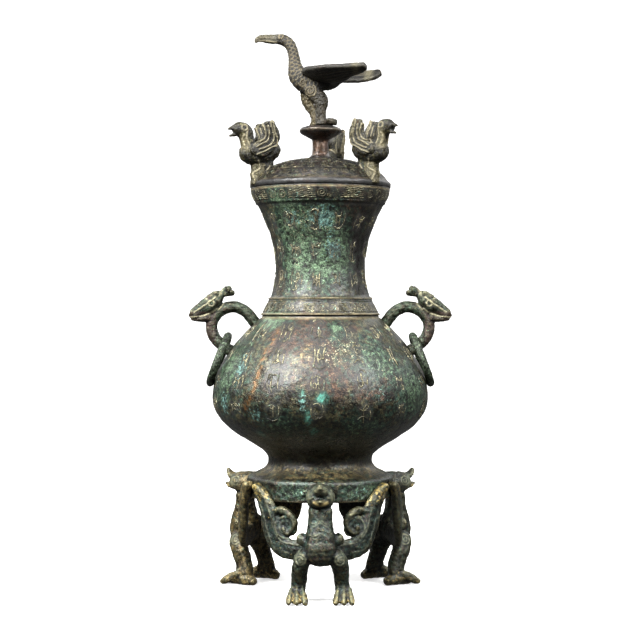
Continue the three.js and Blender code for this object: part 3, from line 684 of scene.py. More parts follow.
# The foot's underside comes first, then the outside up to the rim, then the inside down to the
# floor. Up the outside, the foot's edge and both bands keep their own close steps, and between
# them the rings lie at even distances.
EVEN_STEP, CLEAR_OF_CLOSE, LEAST_STEP = 1.9, 0.8, 0.05
outside_run = lengths(outside)
close = np.concatenate([
    np.linspace(0, 8, 12),
    outside_run[np.searchsorted(outside[:, 1], SHOULDER - 1):][:52],
    outside_run[-28:]])
even = np.arange(0, outside_run[-1], EVEN_STEP)
even = even[np.abs(even[:, None] - close).min(1) > CLEAR_OF_CLOSE]
stops = np.sort(np.concatenate([even, close]))
stops = stops[np.concatenate([[True], np.diff(stops) > LEAST_STEP])]
angles = np.arange(ROUND) / ROUND * FULL
grid_along, grid_angle = np.meshgrid(stops, angles, indexing="ij")
outer_rings = on_outline(outside, grid_along, grid_angle)
flat_outer = outer_rings.reshape(-1, 3)
level = flat_outer[:, 2]
# Cast unevenness all over and crust on the foot band, none of it at the two rims
wander = 0.22 * lumps(flat_outer, 9, 3) + 0.12 * lumps(flat_outer, 3.2, 5)
crust = np.clip(lumps(flat_outer, 1.8, 8), 0, 1) * (level < BAND_TOP - 1) * 0.5
still = ramp(np.abs(level - MOUTH_TOP), 0, 3) * ramp(np.abs(level - STAND), 0, 2)
outer_rings = on_outline(outside, grid_along, grid_angle,
                         ((wander + crust) * still).reshape(grid_angle.shape) - VESSEL_SINK)


def plain_rings(outline):
    """Rings of the turned surface at each point of an outline of (radius r, height): the point at
    angle a is r sin a, -r cos a and the height."""
    r, z = outline[:, :1], outline[:, 1:]
    return np.stack([r * np.sin(angles), -r * np.cos(angles), z + 0 * angles], -1)


vessel_rings = np.vstack([plain_rings(under), outer_rings, plain_rings(inside),
                          plain_rings(np.array([[WAIST_R - WALL, WAIST + 3], [4.0, WAIST + 3]]))])
vessel_points, vessel_faces = capped(vessel_rings, (0, 0, WAIST), (0, 0, WAIST + 3))

# ---- Strokes on the vessel ----


def on_vessel(turns):
    """Puts flat spots of (distance round from the stroke's own middle, height) on the vessel's
    outside, where `turns` gives the angle of each stroke's middle."""
    middles = np.asarray(turns)[:, None, None]

    def place(u, v, lift):
        along = np.interp(v, outside[:, 1], outside_run)
        radius = np.interp(v, outside[:, 1], outside[:, 0])
        return on_outline(outside, along, middles + u / radius, lift - VESSEL_SINK)

    return place


BOW_AT = np.linspace(0, 1, 14)[:, None]


def bow(x0, y0, x1, y1, bend=0.0):
    """A stroke from one point to another, bowed to its left by a share of its length: a quadratic
    Bezier curve whose middle handle lies off the chord's middle by twice that share."""
    a, b = np.array([x0, y0]), np.array([x1, y1])
    middle = (a + b) / 2 + bend * 2 * np.array([-(y1 - y0), x1 - x0])
    return (1 - BOW_AT) ** 2 * a + 2 * BOW_AT * (1 - BOW_AT) * middle + BOW_AT ** 2 * b


def sign(random):
    """One sign in a square of 2 by 2 that spells nothing: two or three bowed uprights, two cross
    strokes bent like brackets and a small coil, all placed at random."""
    strokes = []
    for x in random.permutation([-0.72, 0.02, 0.74])[:random.integers(2, 4)]:
        top, foot = random.uniform(0.4, 1.0), random.uniform(-1.0, -0.35)
        lean = random.uniform(-0.2, 0.2, 2)
        strokes.append(bow(x + lean[0], top, x + lean[1], foot, random.uniform(-0.2, 0.2)))
    for y in (random.uniform(0.2, 0.85), random.uniform(-0.8, -0.1)):
        left, right = random.uniform(0.35, 0.95, 2)
        strokes.append(bow(-left, y, right, y + random.uniform(-0.3, 0.3),
                           random.choice([-0.24, 0.24])))
    x, y = random.uniform([-0.5, -0.7], [0.5, 0.8])
    strokes.append(spiral((x, y), random.uniform(0.3, 0.45), random.uniform(1.0, 1.4),
                          random.uniform(0, 360), random.choice([-1, 1]), len(BOW_AT), 0.4))
    return strokes


def sign_field(rows, columns, first, width, height, seed):
    """Signs in upright columns round the vessel, each a little out of line: strokes about the
    sign's own middle, and the angle of each stroke's column."""
    random = np.random.default_rng(seed)
    paths, turns = [], []
    for z in rows:
        for k in range(columns):
            strokes = sign(random)
            size = np.array([width, height]) / 2 * random.uniform(0.85, 1.1, 2)
            nudge = random.normal(0, 0.5, 2)
            for stroke in strokes:
                jitter = random.normal(0, 0.05, 2)
                paths.append((stroke + jitter) * size + [nudge[0], z + nudge[1]])
                turns.append(math.radians(first + k * 360 / columns))
    return np.stack(paths), np.array(turns)


belly_signs = sign_field([206, 187.5, 168, 145], 15, -1.5, 11.5, 16, 21)
neck_signs = sign_field([292.5, 269.5, 246], 14, -6, 10, 16.5, 22)
sign_paths = np.concatenate([belly_signs[0], neck_signs[0]])
sign_turns = np.concatenate([belly_signs[1], neck_signs[1]])
SIGN_WIDTHS, SIGN_HEIGHT = (0.9, 1.3), 0.36
BAND_STROKE_WIDTH, BAND_STROKE_HEIGHT = 0.85, 0.28
sign_widths = np.random.default_rng(4).uniform(*SIGN_WIDTHS, len(sign_paths))
sign_points, sign_faces = ribbons(sign_paths, sign_widths, SIGN_HEIGHT, on_vessel(sign_turns))


def band_strokes(level, tall, radius, count, first):
    """Pairs of facing spirals round a band, joined by six nearly parallel lines that draw in by
    a cosine towards the middle between two pairs. Each lies about its own middle."""
    paths, turns = [], []
    size = tall * 0.4
    half_pitch = math.pi * radius / count
    for k in range(count):
        for way in (-1, 1):
            paths.append(spiral((way * size * 1.2, level), size, 2.1, 90, way, 30))
            turns.append(math.radians(first + k * 360 / count))
        for row in np.linspace(-0.44, 0.44, 6):
            u = np.linspace(-1, 1, 30) * (half_pitch - size * 2.35)
            v = level + tall * (row * (1 - 0.3 * np.cos(u / half_pitch * 2))
                                + 0.03 * np.sin(u + 5 * row))
            paths.append(np.stack([u, v], 1))
            turns.append(math.radians(first + (k + 0.5) * 360 / count))
    return np.stack(paths), np.array(turns)


mouth_strokes = band_strokes(313.2, 10.6, 54.6, 8, 6.4)
shoulder_strokes = band_strokes(224.9, 9.4, 44.6, 10, 6.5)
band_paths = np.concatenate([mouth_strokes[0], shoulder_strokes[0]])
band_turns = np.concatenate([mouth_strokes[1], shoulder_strokes[1]])
band_points, band_faces = ribbons(band_paths, BAND_STROKE_WIDTH, BAND_STROKE_HEIGHT,
                                  on_vessel(band_turns))

# Marks for the finish: where patina of each colour gathers, and dirt beside the strokes. They are
# given in degrees round from the front, mm of height, half sizes in mm and strength.
spot_angle = np.arctan2(flat_outer[:, 0], -flat_outer[:, 1])
spot_radius = np.hypot(flat_outer[:, 0], flat_outer[:, 1])


def cloud(angle, height, wide, tall, strength):
    """A soft oval patch on the outside: its strength times e to the power of minus the squares of
    the distances round and up over its half sizes."""
    across = np.angle(np.exp(1j * (spot_angle - math.radians(angle)))) * spot_radius / wide
    return strength * np.exp(-across ** 2 - ((level - height) / tall) ** 2)


def clouds(rows):
    """The sum of several soft patches."""
    return sum(cloud(*row) for row in rows)


fade = {
    "green": clouds([(-4, 282, 26, 22, 0.75), (10, 258, 22, 16, 0.6), (-50, 216, 14, 8, 0.9),
                     (-40, 312, 10, 6, 0.5), (34, 186, 24, 16, 0.35), (58, 160, 24, 20, 0.45),
                     (-62, 175, 22, 26, 0.45), (-20, 83, 20, 7, 0.3), (38, 83, 24, 7, 0.38),
                     (150, 83, 60, 7, 0.3), (-120, 83, 40, 7, 0.3), (150, 200, 50, 40, 0.5),
                     (-34, 292, 12, 14, 0.5), (-36, 250, 9, 16, 0.5), (-22, 136, 18, 9, 0.35),
                     (24, 134, 20, 9, 0.35),
                     (-150, 290, 30, 30, 0.6), (140, 265, 20, 26, 0.5), (12, 208, 6, 6, 0.5)]),
    "rust": clouds([(-10, 205, 30, 13, 0.9), (2, 180, 20, 14, 0.4), (28, 300, 14, 12, 0.6),
                    (-48, 262, 12, 26, 0.5), (8, 318, 30, 5, 0.4), (12, 164, 30, 10, 0.35),
                    (120, 180, 40, 26, 0.6), (-120, 200, 34, 26, 0.6), (38, 180, 12, 20, 0.35)]),
    "olive": clouds([(-32, 292, 18, 18, 0.9), (-38, 262, 14, 30, 0.7), (0, 138, 60, 8, 0.35),
                     (-60, 185, 26, 30, 0.6), (40, 210, 30, 12, 0.7), (60, 190, 30, 20, 0.6),
                     (180, 170, 60, 40, 0.6), (0, 190, 20, 10, 0.5), (30, 196, 26, 14, 0.5)]),
    "ochre": clouds([(-46, 275, 10, 34, 0.75), (0, 97, 200, 5, 0.75), (30, 192, 18, 12, 0.4),
                     (-58, 224, 18, 7, 0.6), (-4, 190, 14, 8, 0.45), (-50, 205, 16, 8, 0.5),
                     (0, 312, 200, 4, 0.35), (0, 225, 200, 5, 0.4)]),
    "blue": clouds([(2, 294, 16, 13, 0.62), (-30, 294, 8, 10, 0.4), (16, 270, 10, 10, 0.55),
                    (-50, 178, 7, 18, 0.6), (34, 83, 12, 5, 0.38), (-14, 84, 6, 5, 0.3),
                    (-60, 150, 9, 12, 0.55), (-9, 152, 5, 10, 0.5), (-36, 143, 12, 8, 0.5),
                    (34, 158, 14, 12, 0.3), (170, 230, 30, 30, 0.35)]),
    "spot": clouds([(0.9, 157, 3.2, 2.8, 1.5), (-9, 158, 1.0, 4, 0.8), (-6.4, 141.5, 1.8, 4.4, 1.0),
                    (-4, 131, 2.4, 2.4, 0.8), (-40, 127, 4, 2.4, 0.6)]),
}
# The rust streak on the belly's left runs down through these points of angle and height
streak_path = spline([(-32.6, 206), (-33.9, 200), (-35.5, 189), (-35.4, 177), (-37, 161),
                      (-42, 148)], 60)
own_radius = np.interp(level, outside[:, 1], outside[:, 0])
flat_spots = np.stack([spot_angle * own_radius, level], 1)
streak_line = np.stack([
    np.radians(streak_path[:, 0]) * np.interp(streak_path[:, 1], outside[:, 1], outside[:, 0]),
    streak_path[:, 1]], 1)
fade["streak"] = 1.2 * lines(flat_spots, [streak_line], 1.9) * np.clip(
    0.35 + 1.3 * lumps(flat_outer, 2.0, 12), 0, 1)
# Painted shade: darker down the right side of the neck and belly, at the left edge of the neck, under the
# mouth band on the right and round the foot of the belly above the waist, plus random dark patches about 6
# mm across all over
fade["side_shade_and_dark_patches"] = clouds([(46, 282, 13, 40, 1.1), (72, 268, 16, 50, 1.0), (30, 303, 10, 6, 0.5),
                       (-76, 262, 10, 30, 0.6), (0, 113, 200, 9, 0.75), (78, 190, 18, 30, 0.6)])
fade["side_shade_and_dark_patches"] = np.maximum(fade["side_shade_and_dark_patches"],
                          0.62 * np.clip(lumps(flat_outer, 6, 14) * 1.3 - 0.25, 0, 1))
# Flecks are capped, so that patches that overlap don't close up to one pale patch
fade["fleck"] = clouds([(-16, 290, 24, 14, 0.4), (18, 195, 26, 16, 0.42), (-30, 262, 8, 30, 0.4),
                        (0, 292, 20, 12, 0.34), (36, 170, 18, 16, 0.36), (-44, 150, 16, 14, 0.34),
                        (4, 185, 14, 14, 0.34), (0, 224, 200, 7, 0.4), (0, 312, 200, 6, 0.38),
                        (0, 83, 200, 6, 0.32), (-62, 190, 20, 26, 0.36), (180, 190, 80, 60, 0.34)])
fade["fleck"] = np.minimum(fade["fleck"], 0.4)
fade["spot"] *= np.clip(0.7 + 0.8 * lumps(flat_outer, 1.4, 13), 0, 1)


DIRT_END = 2.4      # dirt ends at this many times its reach
COLUMN_REACH = 20   # no stroke is farther than this from its own middle, round the vessel


def dirt(paths, turns, reach):
    """Dirt beside strokes: the bell of each point's distance to the nearest stroke over `reach`."""
    most = np.zeros(len(level))
    for turn in np.unique(turns):
        apart = np.angle(np.exp(1j * (spot_angle - turn))) * own_radius
        here = np.flatnonzero(np.abs(apart) < COLUMN_REACH)
        local = np.stack([apart[here], level[here]], 1)
        for path in paths[turns == turn]:
            gap = near(local, path, DIRT_END * reach)
            most[here] = np.maximum(most[here], bell(gap, 0, reach) * (gap < DIRT_END * reach))
    return most


fade["dirt_and_shade"] = 0.85 * np.maximum(dirt(sign_paths, sign_turns, 1.7),
                                  0.8 * dirt(band_paths, band_turns, 1.0))
# Painted shadow lines in the grooves at the bands' edges, at the rim under the lid and at the waist, and
# pale lips round the vessel: height, reach and depth, then height and reach
groove_shadows = [(SHOULDER + 1.5, 0.8, 1.0), (MOUTH_BASE - 0.8, 0.9, 0.8), (MOUTH_TOP, 0.5, 0.9),
           (NECK_BASE - 2.4, 0.5, 0.5), (NECK_BASE + 0.4, 0.5, 0.5), (WAIST - 1.0, 2.0, 0.4)]
for height, reach, depth in groove_shadows:
    fade["dirt_and_shade"] = np.maximum(fade["dirt_and_shade"], depth * bell(level, height, reach))
lips = [(SHOULDER + 3.1, 0.7), (SHOULDER + 0.3, 0.5), (NECK_BASE - 1.0, 0.6), (MOUTH_TOP - 1.4, 0.6),
        (STAND + 0.6, 0.5)]
fade["pale"] = sum(0.8 * bell(level, height, reach) for height, reach in lips)
before, after = len(under) * ROUND, len(vessel_points) - len(under) * ROUND - len(flat_outer)
vessel_marks = {key: np.concatenate([np.zeros(before), value, np.zeros(after)])
                for key, value in fade.items()}
piece("vessel", vessel_points, vessel_faces, vase_bronze, stands_for=["vase"],
      marks=vessel_marks)
piece("vessel_signs", sign_points, sign_faces, stroke_bronze)
piece("vessel_bands", band_points, band_faces, stroke_bronze)

# ---- Lid ----

dome = sweep((LID_R - 2.5, LID_BASE + 5.7), (0.15, 0.55), (0.518, 0.105), (7.6, DOME_TOP - 0.15), 46)
post = np.array([[8.8, DOME_TOP + 0.3], [7.2, DOME_TOP + 2.2], [6.7, DOME_TOP + 5], [6.7, DISC_BASE - 2],
                 [7.2, DISC_BASE], [11, DISC_BASE + 2.2], [15.6, DISC_BASE + 5],
                 [16.6, DISC_BASE + 6.6], [16.8, DISC_BASE + 8], [16.2, DISC_BASE + 9],
                 [14.4, DISC_BASE + 10.2], [12.6, DISC_BASE + 10.3], [12, DISC_BASE + 10.8],
                 [9, DISC_TOP - 0.1], [3, DISC_TOP]])
lid_outside = np.vstack([
    [[LID_R - 0.6, LID_BASE]], [[LID_R - 0.1, LID_BASE + 0.6]], [[LID_R, LID_BASE + 2.2]],
    [[LID_R - 0.1, LID_BASE + 3.4]], [[LID_R - 1.2, LID_BASE + 4.9]], dome, spline(post, 70)])
lid_slope = np.gradient(dome, axis=0)
lid_slope /= np.linalg.norm(lid_slope, axis=1, keepdims=True)
lid_inside = (dome - WALL * np.stack([lid_slope[:, 1], -lid_slope[:, 0]], 1))[2:-2:3][::-1]
flange = np.array([[46.5, LID_BASE], [46.5, MOUTH_TOP - 5], [49.4, MOUTH_TOP - 5], [49.6, LID_BASE]])
angles = np.arange(LID_ROUND) / LID_ROUND * FULL
lid_run = lengths(lid_outside)
DOME_STEP = 0.9
lid_stops = np.concatenate([lid_run[:5], np.arange(lid_run[5], lid_run[50], DOME_STEP),
                            lid_run[51:]])
grid_along, grid_angle = np.meshgrid(lid_stops, angles, indexing="ij")
lid_flat = on_outline(lid_outside, grid_along, grid_angle).reshape(-1, 3)
lid_radius, lid_level = np.hypot(lid_flat[:, 0], lid_flat[:, 1]), lid_flat[:, 2]
lift = 0.16 * lumps(lid_flat, 5, 31) + 0.1 * lumps(lid_flat, 2.2, 32)
lid_rings = on_outline(lid_outside, grid_along, grid_angle, lift.reshape(grid_angle.shape) - LID_SINK)
lid_all = np.vstack([plain_rings(lid_inside), plain_rings(flange), lid_rings])
lid_points, lid_faces = capped(lid_all, (0, 0, DOME_TOP - WALL), (0, 0, DISC_TOP))
hidden = (len(lid_inside) + len(flange)) * LID_ROUND
# Copper red on the post, pale on the rim's and the disc's edges, dark on the rim
lid_marks = {
    "rust": ramp(lid_level, DOME_TOP, DOME_TOP + 3) * (lid_level < DISC_BASE + 5),
    "pale": 0.5 * bell(lid_level, LID_BASE + 5.6, 0.5) * (lid_radius > 50)
            + 0.5 * bell(lid_level, DISC_BASE + 7.6, 0.9) * (lid_radius > 15),
    "dirt_and_shade": 0.85 * ramp(lid_level, LID_BASE + 5.0, LID_BASE + 3.4)
             * np.clip(0.75 + 0.4 * lumps(lid_flat, 6, 33), 0, 1)}
lid_marks = {key: np.concatenate([np.zeros(hidden), value, np.zeros(2)])
             for key, value in lid_marks.items()}
piece("lid_cover", lid_points, lid_faces, lid_bronze, stands_for=["lid"],
      marks=lid_marks)


def on_lid(u, v, lift):
    """A flat spot of (angle in degrees, distance up the dome's outline) on the lid."""
    return on_outline(lid_outside, v, np.radians(u), lift - LID_SINK)


def lid_ornament():
    """Three rows of facing spirals and seven circles round the dome. The flat coordinates are
    degrees and mm up the dome, so that a spiral's width in degrees depends on the radius there."""
    paths = []
    for along, count, size, first in ((13.6, 20, 3.7, 0), (24, 15, 3.4, 9), (34.5, 9, 3.0, 20)):
        radius = float(np.interp(along, lid_run, lid_outside[:, 0]))
        for k in range(count):
            middle = first + k * 360 / count
            for way in (-1, 1):
                coil = spiral((way * size * 1.15, 0), size, 1.8, 90, way, 24)
                paths.append(np.stack([middle + np.degrees(coil[:, 0] / radius),
                                       along + coil[:, 1]], 1))
    for along in (7.6, 8.9, 18.4, 19.6, 28.6, 29.8, 39):
        for k in range(24):
            t = np.linspace(0.03, 0.97, 24)
            paths.append(np.stack([(k + t) * 15, along + 0 * t], 1))
    return np.stack(paths)


LID_FLAT_R, LID_STROKE_WIDTH, LID_STROKE_HEIGHT = 40, 0.75, 0.24


def lid_ribbons(paths, width, height):
    """Strokes on the lid, laid out flat as on a cylinder of a middling radius, so that their width
    is in mm and not in degrees."""
    laid_out = np.stack([np.radians(paths[..., 0]) * LID_FLAT_R, paths[..., 1]], -1)
    return ribbons(laid_out, width, height,
                   lambda u, v, lift: on_lid(np.degrees(u / LID_FLAT_R), v, lift))


lid_stroke_points, lid_stroke_faces = lid_ribbons(lid_ornament(), LID_STROKE_WIDTH, LID_STROKE_HEIGHT)
piece("lid_strokes", lid_stroke_points, lid_stroke_faces, lid_stroke_bronze)

# ---- Long-necked bird on the knob, drawn facing -X ----

neck_stations = [
    [-36, 0, 69.5, 3.6, 3.5], [-31.5, 0, 69.4, 4.4, 4.5], [-26.5, 0, 66.8, 4.4, 4.6],
    [-23.3, 0, 62, 4.1, 4.3], [-21.6, 0, 55, 4.1, 4.5], [-20.6, 0, 48, 5.2, 5.6],
    [-18.4, 0, 41, 7, 8], [-12, 0, 36, 8, 9.6], [-3, 0, 35.4, 8, 8],
    [8, 0, 35, 6.8, 6.8], [16, 0, 37, 5, 4.2], [23, 0, 38.4, 3.4, 1.8]]
finial_parts = [
    limb(neck_stations),
    limb([[-34, 0, 70.2, 3.4, 3.8], [-40, 0, 70.1, 2.8, 3.9], [-45.5, 0, 70.8, 2.3, 3.4],
          [-50, 0, 71, 1.8, 2.7], [-52.4, 0, 70, 1.3, 1.9], [-53.1, 0, 67.6, 0.6, 0.8]]),
    limb([[-9, -5, 31, 3.6, 6.4], [-3, -5.6, 24.6, 3.5, 6.2], [1.6, -5.6, 18.6, 3.2, 6.2],
          [1.4, -5.4, 12.6, 2.9, 4.8], [1.6, -5.2, 6, 2.8, 4.2], [1.8, -5.2, 0.6, 3.4, 4.8]]),
    limb([[1.4, -5.6, 20.4, 2.6, 3.2], [6.6, -5.6, 18.9, 1.4, 1.7]]),
    limb([[-12, 4, 30, 3.4, 6], [-11.6, 5, 19.6, 3.2, 4.6], [-7.8, 5.2, 12.6, 2.8, 3.7],
          [-5.6, 5.2, 6, 2.7, 3], [-5.6, 5.2, 0.6, 3.4, 4.4]]),
    limb([[3.5, -1, 1.8, 5.2, 2.2], [8.4, -1, 2.6, 5.6, 2.9], [12.8, -1, 2.0, 4.4, 2.4]]),
    limb([[-9, -5.5, 40.6, 6.4, 2.8], [-1, -13.5, 38.8, 11, 3.0], [12, -20.5, 37.8, 12.8, 2.7],
          [26, -26.5, 39.2, 8.5, 2.6], [38, -30, 40.6, 5.4, 2.5], [42.2, -31, 41.6, 3.4, 2.3]],
         across=(0.55, 0.85, -0.4), power=3.4),
    limb([[-9, 5.5, 41.4, 6.4, 2.8], [-1, 13.5, 42, 11, 3.0], [12, 20.5, 41.8, 12.8, 2.7],
          [26, 26.5, 41.8, 10.5, 2.6], [38, 30, 43.6, 7.4, 2.5], [43.2, 31.2, 45.4, 3.6, 2.3]],
         across=(0.55, -0.85, -0.5), power=3.4),
]
finial = fused(finial_parts, voxel=0.6)
finial.points[:, 2] = np.maximum(finial.points[:, 2], 0)

# The net of scales: two sets of strands that wind round the neck's middle line in opposite ways.
# A point's own place on it is the nearest point of the line and the angle round it.
SCALE_PITCH, STRANDS, STRAND_WIDTH = 3.3, 5, 0.36
NET_HEIGHT, NET_DEPTH = 0.35, 0.2
line = spline([row[:3] for row in neck_stations], 120)
line_run = lengths(line)
nearest = np.zeros(len(finial.points), int)
distance = np.full(len(finial.points), 1e3)
for k, spot in enumerate(line):
    gap = np.linalg.norm(finial.points - spot, axis=1)
    closer = gap < distance
    nearest[closer], distance[closer] = k, gap[closer]
heading = np.gradient(line, axis=0)
heading /= np.linalg.norm(heading, axis=1, keepdims=True)
arm = finial.points - line[nearest]
upward = np.cross(heading[nearest], [0, 1, 0])
round_angle = np.arctan2(arm[:, 1], (arm * upward).sum(1)) / FULL
at = line_run[nearest]
weave = [at / SCALE_PITCH + STRANDS * round_angle, at / SCALE_PITCH - STRANDS * round_angle]
net = np.max([bell(np.abs(w - np.round(w)) * SCALE_PITCH, 0, STRAND_WIDTH) for w in weave], axis=0)
# It fades out at the head, on the back, on the wings and above the legs
x, y, z = finial.points.T
fade_out = (ramp(at, 6, 10) * ramp(at, 62, 52) * ramp(z, 27, 33) * (distance < 11)
            * (np.hypot(y / 12, (x + 14) / 60) < 1))
net = net * fade_out
finial.push(NET_HEIGHT * net - NET_DEPTH * fade_out)
finial.marks["ridge"] = net
# The sunk gaps between the strands are painted black, partly as soil and partly as painted shade
finial.marks["edge"] = np.clip(fade_out - net, 0, 1) * 0.7
# Spirals on the thigh and breast, the eye and the gape, drawn in side view for both sides
side_view = finial.points[:, [0, 2]]
for way in (-1, 1):
    face = side_mask(finial, 1, way)
    engrave(finial, side_view, [
        spiral((-6.4, 26.6), 5.2, 2.2, 60, -1), spiral((-12.6, 33.6), 3.4, 1.6, 200, 1),
        spline([(-31, 73.4), (-29.6, 71.8), (-30.6, 69.9), (-32.8, 70.2), (-33, 72.3), (-31, 73.4)], 24),
        spline([(-52, 68.4), (-46, 68.6), (-39, 67.6), (-35, 66.9)], 20)], 0.62, 0.5, face)
# Four plumes on each wing, drawn from above, stronger on top than below
on_wing = np.abs(finial.points[:, 1]) > 8
plumes = [spline([(6 + share * 5, way * (17 - share * 9)), (20 + share * 3, way * (24 - share * 8)),
                  (36, way * (29.4 - share * 5))], 24)
          for way in (-1, 1) for share in (-0.6, -0.2, 0.2, 0.6)]
for facing, strength in ((1, 0.8), (-1, 0.6)):
    engrave(finial, finial.points[:, :2], plumes, 0.7, 0.3,
            side_mask(finial, 2, facing) * on_wing * strength)
x, y, z = finial.points.T
# The wings and the back behind the breast are painted near black: dark patina, with painted shade of the
# undersides of the wings and tail
behind = ramp(x, -4, 0) * (z > 27)
finial.marks["wing"] = 0.6 * np.maximum(ramp(np.abs(y), 6, 10) * (z > 33), behind)
finial.marks["ridge"] *= 1 - 0.75 * finial.marks["wing"]
head_end, wing_ends = ramp(x, -33, -37), ramp(x, 30, 34) * ramp(x, 40, 36)
finial.marks["pale"] = np.maximum(0.5 * head_end, 0.7 * wing_ends)
finial.marks["ochre"] = (0.75 * (y > 1) + 0.15 * (y < 1)) * (z < 26)  # far leg, near leg
finial.push(0.22 * np.clip(lumps(finial.points, 1.3, 44), -1, 1) * (z < 30))
finial.push(0.12 * lumps(finial.points, 1.8, 41))
HEAD_TOP = 74.0
finial.points[:, 2] = np.minimum(finial.points[:, 2], HEAD_TOP)
finial.shade()
finial_points = turned_by(finial.points, -FINIAL_YAW) + [0, 0, DISC_TOP + GAP]
piece("crowning_bird", finial_points, [finial.quads], finial_bronze,
      stands_for=["finial_bird"], marks=finial.marks)

# ---- Small birds on the lid's edge, drawn facing +X ----

DRAWN_LID_R = 57.0  # the lid's radius that they were drawn for
bird_parts = [
    limb([[66.2, 0, 25.4, 4.6, 5.6], [61.5, 0, 26, 7, 8.6], [55, 0, 26.4, 8, 9.4],
          [47.5, 0, 27, 7.8, 9], [40, 0, 29.2, 6, 6.8], [36.2, 0, 31, 3.6, 3.6]]),
    limb([[60, 0, 28, 5.6, 6.6], [61.8, 0, 36, 5.1, 5.7], [64.2, 0, 43, 5.4, 6.6],
          [68.6, 0, 45.2, 5.2, 5.4], [72, 0, 43.4, 4.2, 4.4]]),
    limb([[70, 0, 46, 3.6, 2.4], [74, 0, 45.6, 2.4, 1.6], [77.8, 0, 44.6, 1, 0.8]]),
    limb([[70, 0, 41.4, 3.4, 2.2], [73.4, 0, 40.2, 2.2, 1.5], [76.2, 0, 39.3, 1, 0.8]]),
    limb([[53.5, 0, 2, 4.8, 5.4], [53, 0, 8, 4.8, 5.6], [52, 0, 14, 4.4, 6.6],
          [51, 0, 19, 4.6, 8.2], [51, 0, 24, 5, 8.4]], power=3),
    limb([[45, 0, 4, 4.6, 5], [45, 0, 12, 4.4, 5], [46, 0, 20, 4.4, 5.6]], power=3),
]
for way in (-1, 1):
    bird_parts.append(limb([
        [60.5, way * 6.2, 27.5, 2, 3], [51, way * 7.9, 29.6, 2.4, 6.6],
        [45.2, way * 8.7, 39, 2.3, 7.6], [46.4, way * 9.8, 46, 2.1, 5.6],
        [47, way * 10.2, 50.4, 1.8, 4.4]], power=3.4))
small_bird = fused(bird_parts, voxel=0.54)
small_bird.points[:, 0] += LID_R - DRAWN_LID_R
small_bird.points[:, 2] += LID_BASE
bird_side = small_bird.points[:, [0, 2]]
# Lines in side view, in mm from the axis and in height: wing ribs, neck feathers, legs and eye
ribs = [[(55.8, 344.6), (49.7, 347.2), (44.6, 350.2), (40.1, 352.1), (39.8, 357.4), (41.3, 361.2),
         (42.5, 364.9), (43.8, 371)],
        [(54.2, 348.3), (49.3, 350.2), (44.6, 352.8), (42.5, 357.4), (43, 361.2), (45, 366.8),
         (45.7, 370.5)],
        [(56.2, 350.2), (51.8, 353.2), (48.2, 355.1), (46.6, 359.3), (47, 363.7), (47.7, 366.8)],
        [(57.4, 352.1), (54.2, 354.3), (51, 355.9), (49.3, 359.3), (50.2, 363.7), (51, 367.2)]]
neck_feathers = [[(61, 352), (63, 358), (62.5, 364)], [(64.5, 351.5), (66, 356.5), (65, 360)]]
leg_ridge = [[(56, 324), (57.4, 330), (52, 334), (54, 340)], [(44, 325), (47, 330), (44, 336)]]
eye = [spiral((64.8, 365.6), 2.3, 1.0, 0, 1, 24, 1.0)]
for way in (-1, 1):
    face = side_mask(small_bird, 1, way, 0.05, 0.35)
    engrave(small_bird, bird_side, [spline(r, 40) for r in ribs], 0.56, 1.0, face)
    engrave(small_bird, bird_side, [spline(r, 24) for r in neck_feathers + leg_ridge] + eye,
            0.6, 0.5, face)
throat = lines(bird_side, [[(64.5, 351), (66, 359)]], 3.2) * (small_bird.points[:, 0] > 60)
perch = (small_bird.points[:, 2] < 338) * (small_bird.points[:, 0] > 48)
small_bird.marks["ochre"] = np.maximum(0.8 * throat, 0.45 * perch)
small_bird.push(0.16 * lumps(small_bird.points, 2.0, 43))
small_bird.shade(10, 0.7)
for where, angle in RIM_BIRD_ANGLES.items():
    piece(f"rim_bird_{where}", turned_by(small_bird.points, angle - 90), [small_bird.quads],
          rim_bird_bronze, stands_for=[f"lid_bird_{where}"], marks=small_bird.marks)

# ---- Handles, drawn at the left ----

ROOT_X, ROOT_Z = -(SHOULDER_R + 3.5), SHOULDER - 7
LOOP = [[-6, -5], [0, 1.8], [8, 11.6], [17.6, 15.8], [28, 12.8], [34, 6.4], [35.6, -1.2],
        [32.8, -9.2], [27.2, -14.8], [20, -19.6], [9, -25.5]]


def loop_spot(out, up):
    """A point of the handle, from its distances out from and up from the upper root."""
    return ROOT_X - out, ROOT_Z + up


def head_part(stations, **options):
    """A part of the dragon's head, from stations measured from the head's seat on the loop."""
    x, z = loop_spot(28, 12.8)
    return limb([[x + a, b, z + c, w, h] for a, b, c, w, h in stations], **options)


BAR_HALF = 4.7
handle_parts = [
    limb([[x, 0, z, BAR_HALF, BAR_HALF] for x, z in (loop_spot(*p) for p in LOOP)], power=2),
    head_part([[-24.6, 0, -4.8, 2.6, 2.1], [-22, 0, -3.2, 5.6, 4.5], [-16.6, 0, 0.4, 6.4, 5.4],
               [-10.6, 0, 4, 8, 6.6], [-4.6, 0, 9, 8, 6.2], [0, 0, 13.4, 5, 3.6]], power=2.8),
    head_part([[-23.5, 0, -6.4, 3.4, 1.6], [-18, 0, -6.8, 5, 2.3], [-9, 0, -5, 6, 4.6]]),
    head_part([[-3, 0, 9.6, 4.4, 3.2], [1.6, 0, 14, 4, 2.9], [5.2, 0, 16.4, 5.2, 3.6]], power=2.6),
]
# Crest prongs in two rows, three to a row
for way in (-1, 0, 1):
    handle_parts.append(head_part([[3.6, way * 2.4, 15.6, 1.8, 2.2],
                                   [7.4 - abs(way) * 0.6, way * 4.4, 18.4 - abs(way) * 1.4, 2.0, 2.2]]))
    handle_parts.append(head_part([[3.4, way * 2.6, 13.6, 2.6, 2.6],
                                   [10.0, way * 4.2, 13.6 + abs(way), 1.9, 1.8]]))
